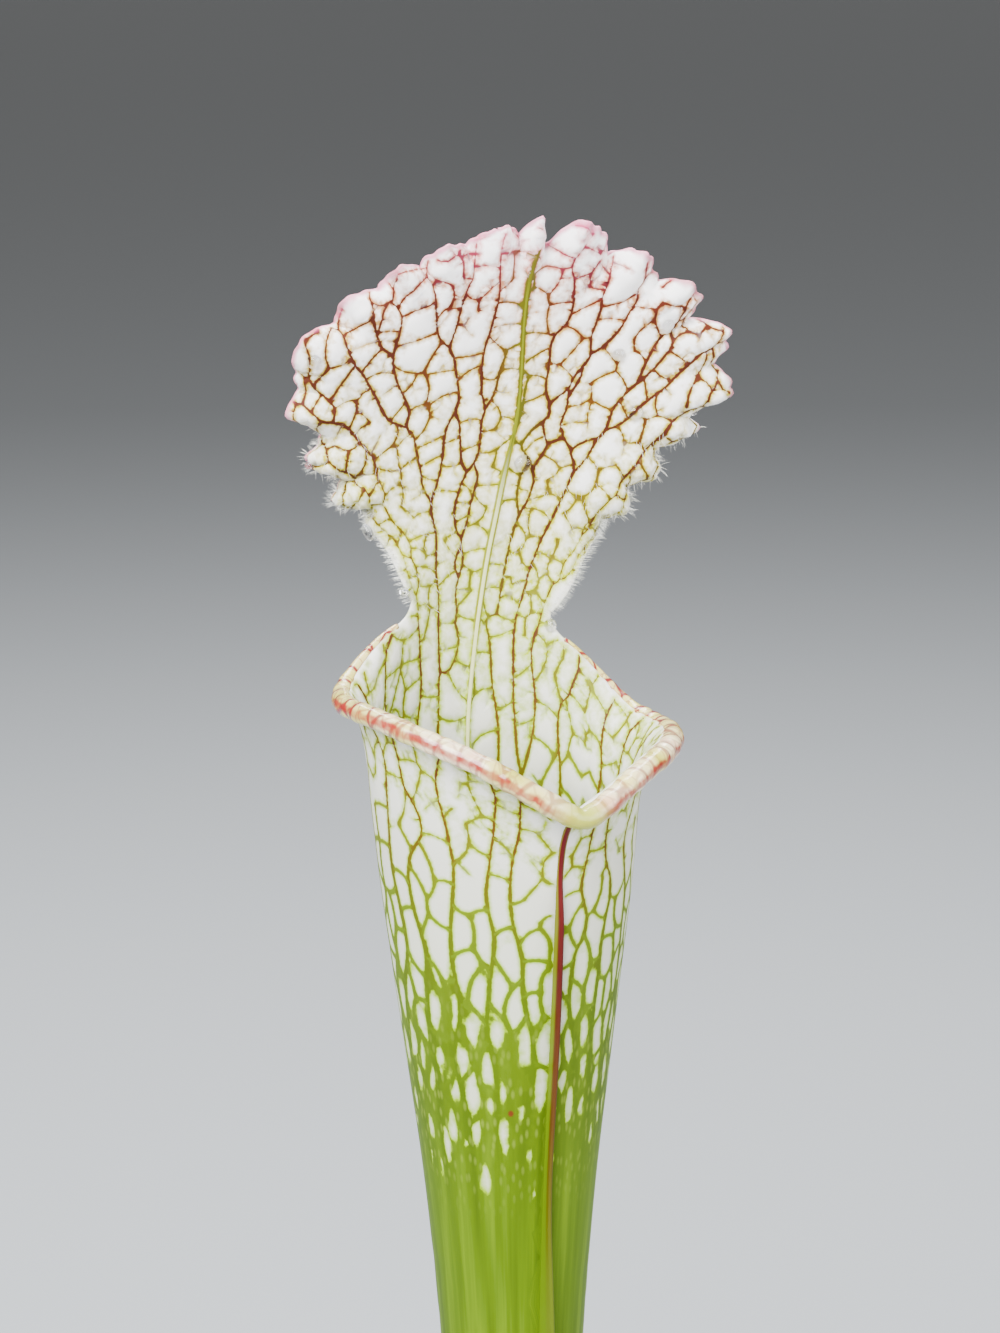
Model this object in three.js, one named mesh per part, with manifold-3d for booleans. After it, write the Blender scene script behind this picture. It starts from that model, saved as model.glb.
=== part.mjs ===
// A potted white pitcher plant: one tall trumpet leaf with a rolled lip and a frilled hood, growing from a
// rhizome that lies in peat in a plain round pot. Millimetres, +Z up, the leaf's mouth faces -Y, and the
// origin is the centre of the pot's underside.
import * as THREE from "three";
import { mergeVertices } from "three/addons/utils/BufferGeometryUtils.js";
import Module from "manifold-3d";

const wasm = await Module();
wasm.setup();

// Driving dimensions
const POT = {
  height: 92,
  rimRadius: 57,
  neckRadius: 53,
  footRadius: 41,
  wall: 2.2,
  bandDepth: 17,
  ledgeRise: 4,
  floorHeight: 5,
  footDepth: 3,
  footWidth: 6,
  segments: 48,
  drainHoles: 6,
  drainRadius: 4,
  drainCircle: 25,
};
const SOIL = { level: 79.2, mound: 1.8, bump: 0.8, rings: 9, segments: 44 };
const RHIZOME = { radius: 7, halfLength: 21, centreX: -6, centreZ: 75.5, rings: 12, segments: 16 };
const CLEARANCE = 0.3;

// The leaf stands on its own axes: x across, y towards the back, z up from the middle of its mouth.
const LEAF = {
  mouthY: 8.2,
  mouthZ: 331,
  thickness: 0.8,
  footZ: -256,
  hollowFloorZ: -232,
  twist: THREE.MathUtils.degToRad(-6.5),
  leanForward: 8.8,
  leanLength: 110,
  sideLean: 0.15,
  leanFrom: -14,
  leanTo: 10,
  mouthSlant: 0.16,
};
// Height against the tube's half width
const TUBE_WIDTH = [
  [-260, 3.5], [-215, 4.2], [-165, 5.7], [-120, 7.8], [-89, 9.5],
  [-65, 11.4], [-42, 14.1], [-20, 16.7], [-5, 17.7], [10, 17.9], [40, 18.4],
];
// Height against the wing's depth, for the keel down the front of the tube
const WING_DEPTH = [
  [-252, 0.8], [-215, 2.6], [-165, 4.2], [-110, 3.2], [-60, 1.9], [-20, 1.5], [-11, 0.2], [0, 0],
];
const WING = { tipHalf: 0.42, rootHalf: 1.0 };
const LIP = {
  cornerAngle: 34.5,
  cornerHeight: 8.2,
  shoulderDrop: 7.6,
  sideRise: 1.2,
  frontDip: 8.2,
  flare: 3.3,
  flareLength: 3.6,
  spout: 2.9,
  radius: 1.75,
  turns: 8,
};
// Angle from the top in degrees, the flat blade's radius, and how wide and how far its edge curls back
const HOOD_MARGIN = [
  [0, 27, 6, 0.3], [28, 26.6, 6, 0.3], [46, 28, 6.5, 0.4], [60, 30.2, 7, 0.55],
  [72, 32.4, 7.5, 0.7], [83, 32, 8, 1], [96, 28.6, 8, 1.4], [108, 27.2, 8, 1.7],
  [125, 25.6, 7.5, 1.9], [143, 25.2, 7, 1.5], [157, 29.6, 6, 0.3], [180, 34, 6, 0.2],
];
// Height against the radius of the hollow across the hood's face
const HOOD_HOLLOW = [[0, 17.9], [12, 19], [36, 80], [66, 120]];
// Angles of the notches between the frill's lobes, in degrees, from the leaf's left to its right
const NOTCHES = [
  -158, -143, -128, -112, -95, -80, -63, -50, -38, -24, -8, 0, 22, 40, 58, 74, 88, 100, 115, 130, 144, 158,
];
const HOOD = {
  pivotZ: 37,
  neckAngle: 157,
  shoulder: 60,
  spineSlope: 0.08,
  spineBend: 0.0044,
  frill: 1.2,
  frillReach: 4.5,
  lobe: 1.3,
  apexNotch: 2,
  skew: 0.05,
  midrib: 0.55,
  blendHeight: 17,
  neckBow: 0.35,
  foldedFrom: 0.7,
  rows: 34,
  columns: [25, 37, 61, 85],
  widerFrom: [0.2, 0.5, 0.78],
};

const degrees = THREE.MathUtils.degToRad;

function smooth(low, high, x) {
  const t = Math.min(1, Math.max(0, (x - low) / (high - low)));
  return t * t * (3 - 2 * t);
}

// A smooth curve through the rows of a table, read at x in column c
function through(table, x, c = 1) {
  const last = table.length - 1;
  if (x <= table[0][0]) return table[0][c];
  if (x >= table[last][0]) return table[last][c];
  let i = 0;
  while (x > table[i + 1][0]) i++;
  const slope = (j) => {
    const a = table[Math.max(0, j - 1)];
    const b = table[Math.min(last, j + 1)];
    return (b[c] - a[c]) / (b[0] - a[0]);
  };
  const [x0, x1] = [table[i][0], table[i + 1][0]];
  const h = x1 - x0;
  const t = (x - x0) / h;
  const s = 1 - t;
  return (
    table[i][c] * s * s * (1 + 2 * t) +
    table[i + 1][c] * t * t * (3 - 2 * t) +
    h * t * s * (slope(i) * s - slope(i + 1) * t)
  );
}

// The tube: its rim, walls and lip

// Angles round the tube run from -PI at the front, through 0 at the back, to PI at the front.
function rimHeight(angle) {
  const a = Math.abs(THREE.MathUtils.radToDeg(angle));
  return (
    LIP.cornerHeight -
    LIP.shoulderDrop * smooth(36, 76, a) +
    LIP.sideRise * smooth(80, 118, a) -
    LIP.frontDip * Math.exp(-Math.pow((180 - a) / 26, 1.25))
  );
}

function rimFlare(angle) {
  const a = Math.abs(THREE.MathUtils.radToDeg(angle));
  return (
    LIP.flare * smooth(LIP.cornerAngle, 74, a) + LIP.spout * Math.exp(-Math.pow((180 - a) / 20, 1.5))
  );
}

function lipRadius(angle) {
  const a = Math.abs(THREE.MathUtils.radToDeg(angle));
  const edge = LEAF.thickness / 2;
  return edge + (LIP.radius - edge) * smooth(LIP.cornerAngle, 88, a);
}

function tubeAxisY(z) {
  return -LEAF.leanForward * (1 - Math.exp(Math.min(z, 60) / LEAF.leanLength));
}

function tubePointAtHeight(angle, z, below) {
  const turned = angle + LEAF.twist * (angle / Math.PI) ** 2;
  const radius = through(TUBE_WIDTH, z) + rimFlare(angle) * Math.exp(-below / LIP.flareLength);
  return [radius * Math.sin(turned), tubeAxisY(z) + radius * Math.cos(turned), z];
}

// level is 0 at the rim and falls to footZ, and rings near the rim follow its waves.
function tubePoint(angle, level) {
  const rim = rimHeight(angle);
  const z = level + rim * smooth(-38, 0, level);
  return tubePointAtHeight(angle, z, rim - z);
}

// The hood: a flat fan that is curled back, frilled and scooped

function lobeAt(psi) {
  let i = 0;
  while (i < NOTCHES.length - 2 && psi > NOTCHES[i + 1]) i++;
  const share = (psi - NOTCHES[i]) / (NOTCHES[i + 1] - NOTCHES[i]);
  return Math.min(1, Math.max(0, share));
}

function marginRadius(psi) {
  const bump = Math.pow(Math.sin(Math.PI * lobeAt(psi)), 0.75) - 0.6;
  const fade = 1 - smooth(128, 150, Math.abs(psi));
  const apex = HOOD.apexNotch * Math.exp(-Math.pow((psi - 1) / 2.6, 2));
  const skew = 1 - HOOD.skew * Math.sin(degrees(psi)) * fade;
  return through(HOOD_MARGIN, Math.abs(psi)) * skew + HOOD.lobe * bump * fade - apex;
}

function frillWave(psi) {
  const fade = 1 - smooth(132, 152, Math.abs(psi));
  return -Math.cos(2 * Math.PI * lobeAt(psi)) * fade + 0.35 * Math.sin(psi * 0.16 + 0.6) * fade;
}

function spineY(z) {
  const rise = z - LIP.cornerHeight;
  const neckY = tubeAxisY(LIP.cornerHeight) + through(TUBE_WIDTH, LIP.cornerHeight);
  return neckY + HOOD.spineSlope * rise - HOOD.spineBend * rise ** 2;
}

// A point of the flat fan, bent into place: its edge curls back and is frilled, its face is hollowed across,
// and its foot runs into the tube's wall.
function hoodPoint(flatX, flatZ) {
  const [dx, dz] = [flatX, flatZ - HOOD.pivotZ];
  const psi = THREE.MathUtils.radToDeg(Math.atan2(dx, dz));
  const size = Math.abs(psi);
  const r = Math.hypot(dx, dz);
  const edge = marginRadius(psi);
  const curlWidth = through(HOOD_MARGIN, size, 2);
  const curlTurn = through(HOOD_MARGIN, size, 3);
  const curlRadius = curlWidth / curlTurn;
  const into = Math.max(0, r - (edge - curlWidth));
  const turn = into / curlRadius;
  const frill =
    HOOD.frill * frillWave(psi) * Math.exp(-Math.pow(Math.max(0, edge - r) / HOOD.frillReach, 1.5));
  const bentR = r - into + curlRadius * Math.sin(turn) + frill * Math.sin(turn);
  const back = curlRadius * (1 - Math.cos(turn)) - frill * Math.cos(turn);
  const [sin, cos] = r > 0 ? [dx / r, dz / r] : [0, 1];
  const x = bentR * sin;
  const z = HOOD.pivotZ + bentR * cos;
  const fan = [x, spineY(z) - x ** 2 / (2 * through(HOOD_HOLLOW, z)) + back, z];
  const wall = tubePointAtHeight(flatX / through(TUBE_WIDTH, LIP.cornerHeight), flatZ, 0);
  const mix = smooth(LIP.cornerHeight, LIP.cornerHeight + HOOD.blendHeight, flatZ);
  return fan.map((v, k) => wall[k] + (v - wall[k]) * mix);
}

// A point of the flat blade: t runs from -1 to 1 across it, q from 0 at the neck to 1 at the top margin.
function flatHood(t, q) {
  const margin = (psi) => {
    const r = marginRadius(psi);
    return [r * Math.sin(degrees(psi)), HOOD.pivotZ + r * Math.cos(degrees(psi))];
  };
  const hand = Math.sign(t) || 1;
  const side = margin(hand * (HOOD.neckAngle + (HOOD.shoulder - HOOD.neckAngle) * q));
  const top = HOOD.pivotZ + through(HOOD_MARGIN, 0);
  const centreZ = LIP.cornerHeight + (top - LIP.cornerHeight) * q;
  const arched = (end, middle, bend) => {
    const across = Math.sin(bend * Math.abs(t)) / Math.sin(bend);
    const drop = (1 - Math.cos(bend * t)) / (1 - Math.cos(bend));
    return [across * end[0], middle + (end[1] - middle) * drop];
  };
  const [x, z] = arched(side, centreZ, HOOD.neckBow + (degrees(HOOD.shoulder) - HOOD.neckBow) * q);
  // The top rows settle onto the lobed margin.
  const last = arched(margin(hand * HOOD.shoulder), top, degrees(HOOD.shoulder));
  const exact = margin(t * HOOD.shoulder);
  const pull = q ** 5;
  return [x + (exact[0] - last[0]) * pull, z + (exact[1] - last[1]) * pull];
}

// The whole head leans to its right, and everything moves to its place over the pot.
function placed([x, y, z]) {
  const bent = Math.min(z, LEAF.leanTo) - LEAF.leanFrom;
  const straight = Math.max(0, z - LEAF.leanTo);
  const lift = bent > 0 ? bent ** 2 / (2 * (LEAF.leanTo - LEAF.leanFrom)) + straight : 0;
  const slant = LEAF.mouthSlant * (smooth(-40, 5, z) - 0.7 * smooth(8, 40, z));
  return new THREE.Vector3(x + LEAF.sideLean * lift, y + LEAF.mouthY, z - slant * x + LEAF.mouthZ);
}

// The leaf's middle surface and its normal, which points to the inside of the tube or the face of the hood
function frameOf(surface, a, b, stepA, stepB) {
  const at = (da, db) => placed(surface(a + da * stepA, b + db * stepB));
  const across = at(1, 0).sub(at(-1, 0)).normalize();
  const up = at(0, 1).sub(at(0, -1)).normalize();
  return { middle: at(0, 0), up, normal: across.clone().cross(up).normalize() };
}

const tubeFrame = (angle, level) => frameOf(tubePoint, angle, level, 0.01, 0.05);
const hoodFrame = (t, q) =>
  frameOf((x, z) => hoodPoint(x, z), ...flatHood(t, q), 0.05, 0.05);

// A closed surface, sewn together from rows of points
class Shell {
  points = [];
  faces = [];

  row(points, marks) {
    const ids = points.map((p) => this.points.push(p) - 1);
    return ids.map((id, i) => ({ id, mark: marks[i] }));
  }

  // Joins two rows that run the same way. Marks say which points face each other.
  strip(low, high) {
    let [i, j] = [0, 0];
    const lowIsNext = () => {
      const lead = high[j + 1].mark + high[j].mark - low[i + 1].mark - low[i].mark;
      return Math.abs(lead) < 1e-6 ? low[i].mark + low[i + 1].mark > 0 : lead > 0;
    };
    while (i < low.length - 1 || j < high.length - 1) {
      if (j === high.length - 1 || (i < low.length - 1 && lowIsNext())) {
        this.face(low[i].id, low[i + 1].id, high[j].id);
        i++;
      } else {
        this.face(low[i].id, high[j + 1].id, high[j].id);
        j++;
      }
    }
  }

  fan(row, centre) {
    const id = this.points.push(centre) - 1;
    for (let i = 0; i + 1 < row.length; i++) this.face(row[i].id, row[i + 1].id, id);
  }

  face(a, b, c) {
    if (a !== b && b !== c && a !== c) this.faces.push([a, b, c]);
  }

  geometry() {
    const flat = this.faces.flat().flatMap((id) => this.points[id].toArray());
    return new THREE.BufferGeometry().setAttribute(
      "position",
      new THREE.Float32BufferAttribute(flat, 3),
    );
  }
}

const FULL_TURN = 2 * Math.PI;
const marksMoved = (row, shift) => row.map(({ id, mark }) => ({ id, mark: mark + shift }));
const ring = (row) => [...row, ...marksMoved([row[0]], FULL_TURN)];
const reversed = (row) => row.toReversed().map(({ id, mark }) => ({ id, mark: -mark }));
const spread = (from, to, count) =>
  Array.from({ length: count }, (_, i) => from + ((to - from) * i) / (count - 1));

const NECK_CORNER = degrees(LIP.cornerAngle);
const TINY = 1e-6;
const betweenCorners = ({ mark }) => Math.abs(mark) < NECK_CORNER - TINY;
const onNeck = ({ mark }) => Math.abs(mark) < NECK_CORNER + TINY;

// Angles of one ring: fine at the back, and two close pairs at the front for the wing.
function ringAngles(level, backCount, sideCount) {
  const radius = through(TUBE_WIDTH, level);
  const root = Math.PI - Math.asin(WING.rootHalf / radius);
  const tip = Math.PI - Math.asin(WING.tipHalf / radius);
  const side = spread(NECK_CORNER, root, sideCount).slice(1);
  return [
    -tip,
    ...side.map((a) => -a).reverse(),
    ...spread(-NECK_CORNER, NECK_CORNER, backCount),
    ...side,
    tip,
  ];
}

function tubeRow(shell, level, counts, face, spare = 0) {
  const angles = ringAngles(level, ...counts);
  const radius = through(TUBE_WIDTH, level);
  const points = angles.map((angle, i) => {
    const { middle, normal } = tubeFrame(angle, level);
    const p = middle.addScaledVector(normal, face * (LEAF.thickness / 2 + spare));
    const onTip = i === 0 || i === angles.length - 1;
    if (face < 0 && onTip) p.addScaledVector(normal, -through(WING_DEPTH, level));
    const ridge = Math.exp(-((angle * radius) ** 2));
    if (face > 0) p.addScaledVector(normal, HOOD.midrib * ridge * smooth(-70, -30, level));
    return p;
  });
  return shell.row(points, angles);
}

function columnsAt(level) {
  if (level > -50) return [21, 11];
  if (level > -120) return [13, 8];
  return [7, 5];
}

const tubeRows = (shell, levels, face) =>
  levels.map((level) => tubeRow(shell, level, columnsAt(level), face));

// Inside of the tube, from its floor to the rim
function innerWall(shell) {
  const levels = [-190, -150, -119, -95, -75, -60, -49, -38, -27, -18, -11, -6.5, -3.6, -1.6, 0];
  const rows = tubeRows(shell, [LEAF.hollowFloorZ, ...levels], 1);
  rows.slice(1).forEach((row, i) => shell.strip(ring(rows[i]), ring(row)));
  const floor = placed([0, tubeAxisY(LEAF.hollowFloorZ), LEAF.hollowFloorZ]);
  shell.fan(reversed(ring(rows[0])), floor);
  return rows.at(-1);
}

// Outside of the tube, from the lip's underside to the foot
function outerWall(shell, rimOut) {
  const levels = [-3.4, -6.5, -11, -18, -27, -38, -49, -60, -75, -95, -119, -150, -185, -220];
  const rows = [rimOut, ...tubeRows(shell, [...levels, LEAF.footZ], -1)];
  rows.slice(1).forEach((row, i) => shell.strip(reversed(ring(row)), reversed(ring(rows[i]))));
  shell.fan(ring(rows.at(-1)), placed([0, tubeAxisY(LEAF.footZ), LEAF.footZ]));
}

// One row along the roll, turned from the inner wall over the top by a share of the whole roll
function lipRow(shell, marks, share) {
  const points = marks.map((mark) => {
    const { middle, up, normal } = tubeFrame(mark > Math.PI ? mark - FULL_TURN : mark, 0);
    const radius = lipRadius(mark > Math.PI ? mark - FULL_TURN : mark);
    const turn = share * (FULL_TURN - Math.acos(Math.max(-1, 1 - LEAF.thickness / radius)));
    return middle
      .addScaledVector(normal, LEAF.thickness / 2 + radius * (Math.cos(turn) - 1))
      .addScaledVector(up, radius * Math.sin(turn));
  });
  return shell.row(points, marks);
}

// The lip runs from the neck's right corner round the front to its left corner.
function lip(shell, rimIn) {
  const right = rimIn.filter(({ mark }) => mark > NECK_CORNER - TINY);
  const left = rimIn.filter(({ mark }) => mark < TINY - NECK_CORNER);
  const first = [...right, ...marksMoved(left, FULL_TURN)];
  const marks = first.map(({ mark }) => mark);
  const rows = [first];
  for (let k = 1; k <= LIP.turns; k++) rows.push(lipRow(shell, marks, k / LIP.turns));
  rows.slice(1).forEach((row, i) => shell.strip(rows[i], row));
  // Its thin ends at the neck are closed.
  const [rightEnd, leftEnd] = [rows.map((row) => row[0].id), rows.map((row) => row.at(-1).id)];
  for (let k = 1; k < LIP.turns; k++) {
    shell.face(rightEnd[0], rightEnd[k], rightEnd[k + 1]);
    shell.face(leftEnd[0], leftEnd[k + 1], leftEnd[k]);
  }
  return rows.at(-1);
}

// The outer wall's top row: the end of the roll, and the back of the neck between its corners
function outerRim(shell, rimIn, lipEnd) {
  const marks = rimIn.filter(betweenCorners).map(({ mark }) => mark);
  const points = marks.map((mark) => {
    const { middle, normal } = tubeFrame(mark, 0);
    return middle.addScaledVector(normal, -LEAF.thickness / 2);
  });
  return [
    ...marksMoved(lipEnd.filter(({ mark }) => mark > Math.PI), -FULL_TURN),
    ...shell.row(points, marks),
    ...lipEnd.filter(({ mark }) => mark <= Math.PI),
  ];
}

function hoodRow(shell, q, count, face) {
  const ts = spread(-1, 1, count);
  const points = ts.map((t) => {
    const { middle, normal } = hoodFrame(t, q);
    const ridge = face > 0 && Math.abs(t) < 1e-9 ? HOOD.midrib * (1 - 0.6 * q) : 0;
    return middle.addScaledVector(normal, (face * LEAF.thickness) / 2 + ridge);
  });
  return shell.row(points, ts);
}

// Rows near the top are sewn along the frill's folds, so each point is marked with its angle from the pivot.
function alongFolds(row, q) {
  return row.map(({ id, mark }) => {
    const [x, z] = flatHood(mark, q);
    return { id, mark: Math.atan2(x, z - HOOD.pivotZ) };
  });
}

// One face of the hood, from the neck's row of the rim to the top margin
function hoodFace(shell, rim, face) {
  const heights = spread(0, 1, HOOD.rows).map((s) => s * (1.18 - 0.18 * s));
  const columns = (q) => HOOD.columns[HOOD.widerFrom.filter((limit) => q > limit).length];
  const neck = rim.filter(onNeck).map(({ id, mark }) => ({ id, mark: mark / NECK_CORNER }));
  const rows = [neck, ...heights.slice(1).map((q) => hoodRow(shell, q, columns(q), face))];
  rows.slice(1).forEach((row, i) => {
    const folded = heights[i] > HOOD.foldedFrom;
    const low = folded ? alongFolds(rows[i], heights[i]) : rows[i];
    const high = folded ? alongFolds(row, heights[i + 1]) : row;
    if (face > 0) shell.strip(low, high);
    else shell.strip(reversed(low), reversed(high));
  });
  return rows;
}

// The edge of one face: up its left side, along the top and down its right side
function edgeOf(rows) {
  const ids = [
    ...rows.map((row) => row[0].id),
    ...rows.at(-1).slice(1).map(({ id }) => id),
    ...rows.slice(0, -1).reverse().map((row) => row.at(-1).id),
  ];
  return ids.map((id, mark) => ({ id, mark }));
}

function pitcherGeometry() {
  const shell = new Shell();
  const rimIn = innerWall(shell);
  const rimOut = outerRim(shell, rimIn, lip(shell, rimIn));
  outerWall(shell, rimOut);
  const front = hoodFace(shell, rimIn, 1);
  const back = hoodFace(shell, rimOut, -1);
  shell.strip(edgeOf(front), edgeOf(back));
  return shell.geometry();
}

// Solids: closed meshes made ready for cutting, and turned back into geometries

function solidOf(geometry) {
  const plain = geometry.index ? geometry.toNonIndexed() : geometry.clone();
  plain.deleteAttribute("normal");
  plain.deleteAttribute("uv");
  const merged = mergeVertices(plain, 1e-3);
  return new wasm.Manifold(
    new wasm.Mesh({
      numProp: 3,
      vertProperties: merged.attributes.position.array,
      triVerts: new Uint32Array(merged.index.array),
    }),
  );
}

function geometryOf(solid) {
  const mesh = solid.getMesh();
  return new THREE.BufferGeometry()
    .setAttribute("position", new THREE.BufferAttribute(mesh.vertProperties, 3))
    .setIndex(new THREE.BufferAttribute(mesh.triVerts, 1));
}

function turned(profile, segments) {
  const points = profile.map(([r, z]) => new THREE.Vector2(r, z));
  return new THREE.LatheGeometry(points, segments).rotateX(Math.PI / 2);
}

// The pot: a tapered cup with a wider band at the rim, a foot ring and drain holes
const BAND_Z = POT.height - POT.bandDepth;

function wallRadius(z) {
  return POT.footRadius + ((POT.neckRadius - POT.footRadius) * z) / BAND_Z;
}

// Inside, the wall steps out to the band over a sloping ledge.
function innerRadius(z) {
  const onLedge = Math.min(1, Math.max(0, (z - BAND_Z) / POT.ledgeRise));
  return wallRadius(Math.min(z, BAND_Z)) - POT.wall + onLedge * (POT.rimRadius - POT.neckRadius - 1);
}

function potGeometry() {
  const profile = [
    [0, POT.footDepth],
    [POT.footRadius - POT.footWidth, POT.footDepth],
    [POT.footRadius - POT.footWidth, 0],
    [POT.footRadius - 0.8, 0],
    [POT.footRadius, 0.8],
    [wallRadius(BAND_Z / 2), BAND_Z / 2],
    [POT.neckRadius, BAND_Z],
    [POT.rimRadius - 1, BAND_Z + 1],
    [POT.rimRadius - 0.6, BAND_Z + 2],
    [POT.rimRadius, POT.height - 1.2],
    [POT.rimRadius - POT.wall / 2, POT.height],
    [POT.rimRadius - POT.wall - 0.6, POT.height - 0.6],
    [innerRadius(POT.height), BAND_Z + POT.ledgeRise],
    [innerRadius(BAND_Z), BAND_Z],
    [innerRadius(POT.floorHeight), POT.floorHeight],
    [0, POT.floorHeight],
  ];
  let pot = solidOf(turned(profile, POT.segments));
  for (let i = 0; i < POT.drainHoles; i++) {
    const angle = (FULL_TURN * i) / POT.drainHoles;
    const drill = new THREE.CylinderGeometry(POT.drainRadius, POT.drainRadius, POT.floorHeight * 2, 14)
      .rotateX(Math.PI / 2)
      .translate(POT.drainCircle * Math.cos(angle), POT.drainCircle * Math.sin(angle), POT.floorHeight);
    pot = pot.subtract(solidOf(drill));
  }
  return geometryOf(pot);
}

// The rhizome: a knobbly stem lying in the peat, open where the leaf's foot grows from it
function rhizomeShape(grown) {
  const shell = new Shell();
  const rows = [];
  for (let i = 1; i < RHIZOME.rings; i++) {
    const s = (i / RHIZOME.rings) * Math.PI;
    const x = RHIZOME.centreX - RHIZOME.halfLength * Math.cos(s);
    const knob = 1 + 0.09 * Math.sin(i * 2.3);
    const radius = RHIZOME.radius * Math.pow(Math.sin(s), 0.45) * knob + grown;
    const around = spread(0, FULL_TURN, RHIZOME.segments + 1).slice(0, -1);
    const points = around.map(
      (a) => new THREE.Vector3(x, radius * Math.cos(a), RHIZOME.centreZ + 0.8 * radius * Math.sin(a)),
    );
    rows.push(shell.row(points, around));
  }
  const end = (sign) =>
    new THREE.Vector3(RHIZOME.centreX + sign * (RHIZOME.halfLength + grown), 0, RHIZOME.centreZ);
  rows.slice(1).forEach((row, i) => shell.strip(ring(rows[i]), ring(row)));
  shell.fan(reversed(ring(rows[0])), end(-1));
  shell.fan(ring(rows.at(-1)), end(1));
  return solidOf(shell.geometry());
}

// The place of the leaf's foot, a little larger than the foot on every side
function footPlace() {
  const shell = new Shell();
  const levels = [LEAF.footZ - CLEARANCE, LEAF.footZ + 8, LEAF.footZ + 24];
  const rows = levels.map((level) => tubeRow(shell, level, columnsAt(level), -1, CLEARANCE));
  const centre = (level) => placed([0, tubeAxisY(level), level]);
  rows.slice(1).forEach((row, i) => shell.strip(reversed(ring(rows[i])), reversed(ring(row))));
  shell.fan(ring(rows[0]), centre(levels[0]));
  shell.fan(reversed(ring(rows.at(-1))), centre(levels.at(-1)));
  return solidOf(shell.geometry());
}

function rhizomeGeometry() {
  return geometryOf(rhizomeShape(0).subtract(footPlace()));
}

// The peat: it fills the pot to just under the rim, with a gently mounded top
function soilTop(x, y) {
  const r = Math.hypot(x, y);
  const mound = SOIL.mound * (1 - (r / POT.neckRadius) ** 2);
  const lumps = Math.sin(x * 0.21 + 1.3) * Math.cos(y * 0.19 - 0.4) + 0.5 * Math.sin(x * 0.43 - y * 0.37);
  return SOIL.level + mound + SOIL.bump * lumps;
}

function peatGeometry() {
  const shell = new Shell();
  const around = spread(0, FULL_TURN, SOIL.segments + 1).slice(0, -1);
  // The pot's wall has flats, and the peat keeps clear of the middle of each.
  const spare = (z) => innerRadius(z) * Math.cos(Math.PI / POT.segments) - CLEARANCE;
  const circle = (radius, height) => {
    const points = around.map((a) => {
      const [x, y] = [radius * Math.cos(a), radius * Math.sin(a)];
      return new THREE.Vector3(x, y, height(x, y));
    });
    return shell.row(points, around);
  };
  const floor = POT.floorHeight + CLEARANCE;
  const shoulder = BAND_Z + POT.ledgeRise * 0.6;
  const rows = [floor, BAND_Z, shoulder].map((z) => circle(spare(z), () => z));
  for (let i = 0; i < SOIL.rings; i++) {
    rows.push(circle(spare(shoulder) * (1 - (i + 0.12) / SOIL.rings), soilTop));
  }
  rows.slice(1).forEach((row, i) => shell.strip(ring(rows[i]), ring(row)));
  shell.fan(reversed(ring(rows[0])), new THREE.Vector3(0, 0, floor));
  shell.fan(ring(rows.at(-1)), new THREE.Vector3(0, 0, soilTop(0, 0)));
  const peat = solidOf(shell.geometry());
  return geometryOf(peat.subtract(rhizomeShape(CLEARANCE)).subtract(footPlace()));
}

function piece(name, geometry, colour, roughness) {
  const material = new THREE.MeshStandardMaterial({ color: colour, roughness, metalness: 0 });
  const mesh = new THREE.Mesh(geometry, material);
  mesh.name = name;
  return mesh;
}

const plant = new THREE.Group();
plant.add(piece("pot", potGeometry(), 0x3a3a3c, 0.55));
plant.add(piece("peat", peatGeometry(), 0x3b2a1d, 0.95));
plant.add(piece("rhizome", rhizomeGeometry(), 0x6b4a32, 0.8));
plant.add(piece("pitcher", pitcherGeometry(), 0xe8ead9, 0.5));

export default plant;
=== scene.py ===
"""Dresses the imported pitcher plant: a veined trumpet leaf with its lip, wing, hairs and dew, over a pot of peat."""

import heapq
import math
from functools import partial

import bmesh
import bpy
import numpy as np
from bpy.props import FloatProperty, FloatVectorProperty, IntProperty, PointerProperty
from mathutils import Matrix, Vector, geometry, kdtree, noise


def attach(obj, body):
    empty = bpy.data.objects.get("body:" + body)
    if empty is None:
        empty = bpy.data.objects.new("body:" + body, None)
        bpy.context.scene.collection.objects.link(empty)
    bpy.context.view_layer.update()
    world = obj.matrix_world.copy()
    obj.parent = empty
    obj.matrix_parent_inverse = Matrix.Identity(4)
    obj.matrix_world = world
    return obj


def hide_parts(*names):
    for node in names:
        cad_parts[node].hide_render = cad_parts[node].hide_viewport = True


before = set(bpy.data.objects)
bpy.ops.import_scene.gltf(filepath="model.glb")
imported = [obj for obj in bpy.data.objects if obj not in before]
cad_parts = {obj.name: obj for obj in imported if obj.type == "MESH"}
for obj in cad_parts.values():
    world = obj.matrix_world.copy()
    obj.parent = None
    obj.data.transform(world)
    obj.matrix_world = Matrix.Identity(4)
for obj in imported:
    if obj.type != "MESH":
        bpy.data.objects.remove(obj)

bl_info = {
    "name": "Potted White Pitcher Plant",
    "version": (1, 0, 0),
    "blender": (4, 5, 0),
    "location": "3D View > Sidebar > Pitcher Plant",
    "description": "Builds the leaf, lip, wing, hairs, dew, rhizome, peat, pot and studio round the packed plant",
    "category": "Object",
}

# Sizes are in millimetres, as in the part's source, and become metres where a mesh is made.
MM = 0.001

POT_HEIGHT = 92
POT_RIM_RADIUS = 57
POT_NECK_RADIUS = 53
POT_FOOT_RADIUS = 41
POT_WALL = 2.2
POT_BAND_DEPTH = 17
POT_LEDGE = 4
POT_FLOOR = 5
POT_FOOT_DEPTH = 3
POT_FOOT_WIDTH = 6
DRAIN_HOLES = 6
DRAIN_RADIUS = 4
DRAIN_CIRCLE = 25

SOIL_LEVEL = 79.2
SOIL_MOUND = 1.8
SOIL_BUMP = 0.8

RHIZOME_RADIUS = 7
RHIZOME_HALF_LENGTH = 21
RHIZOME_X = -6
RHIZOME_Z = 75.5

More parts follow.
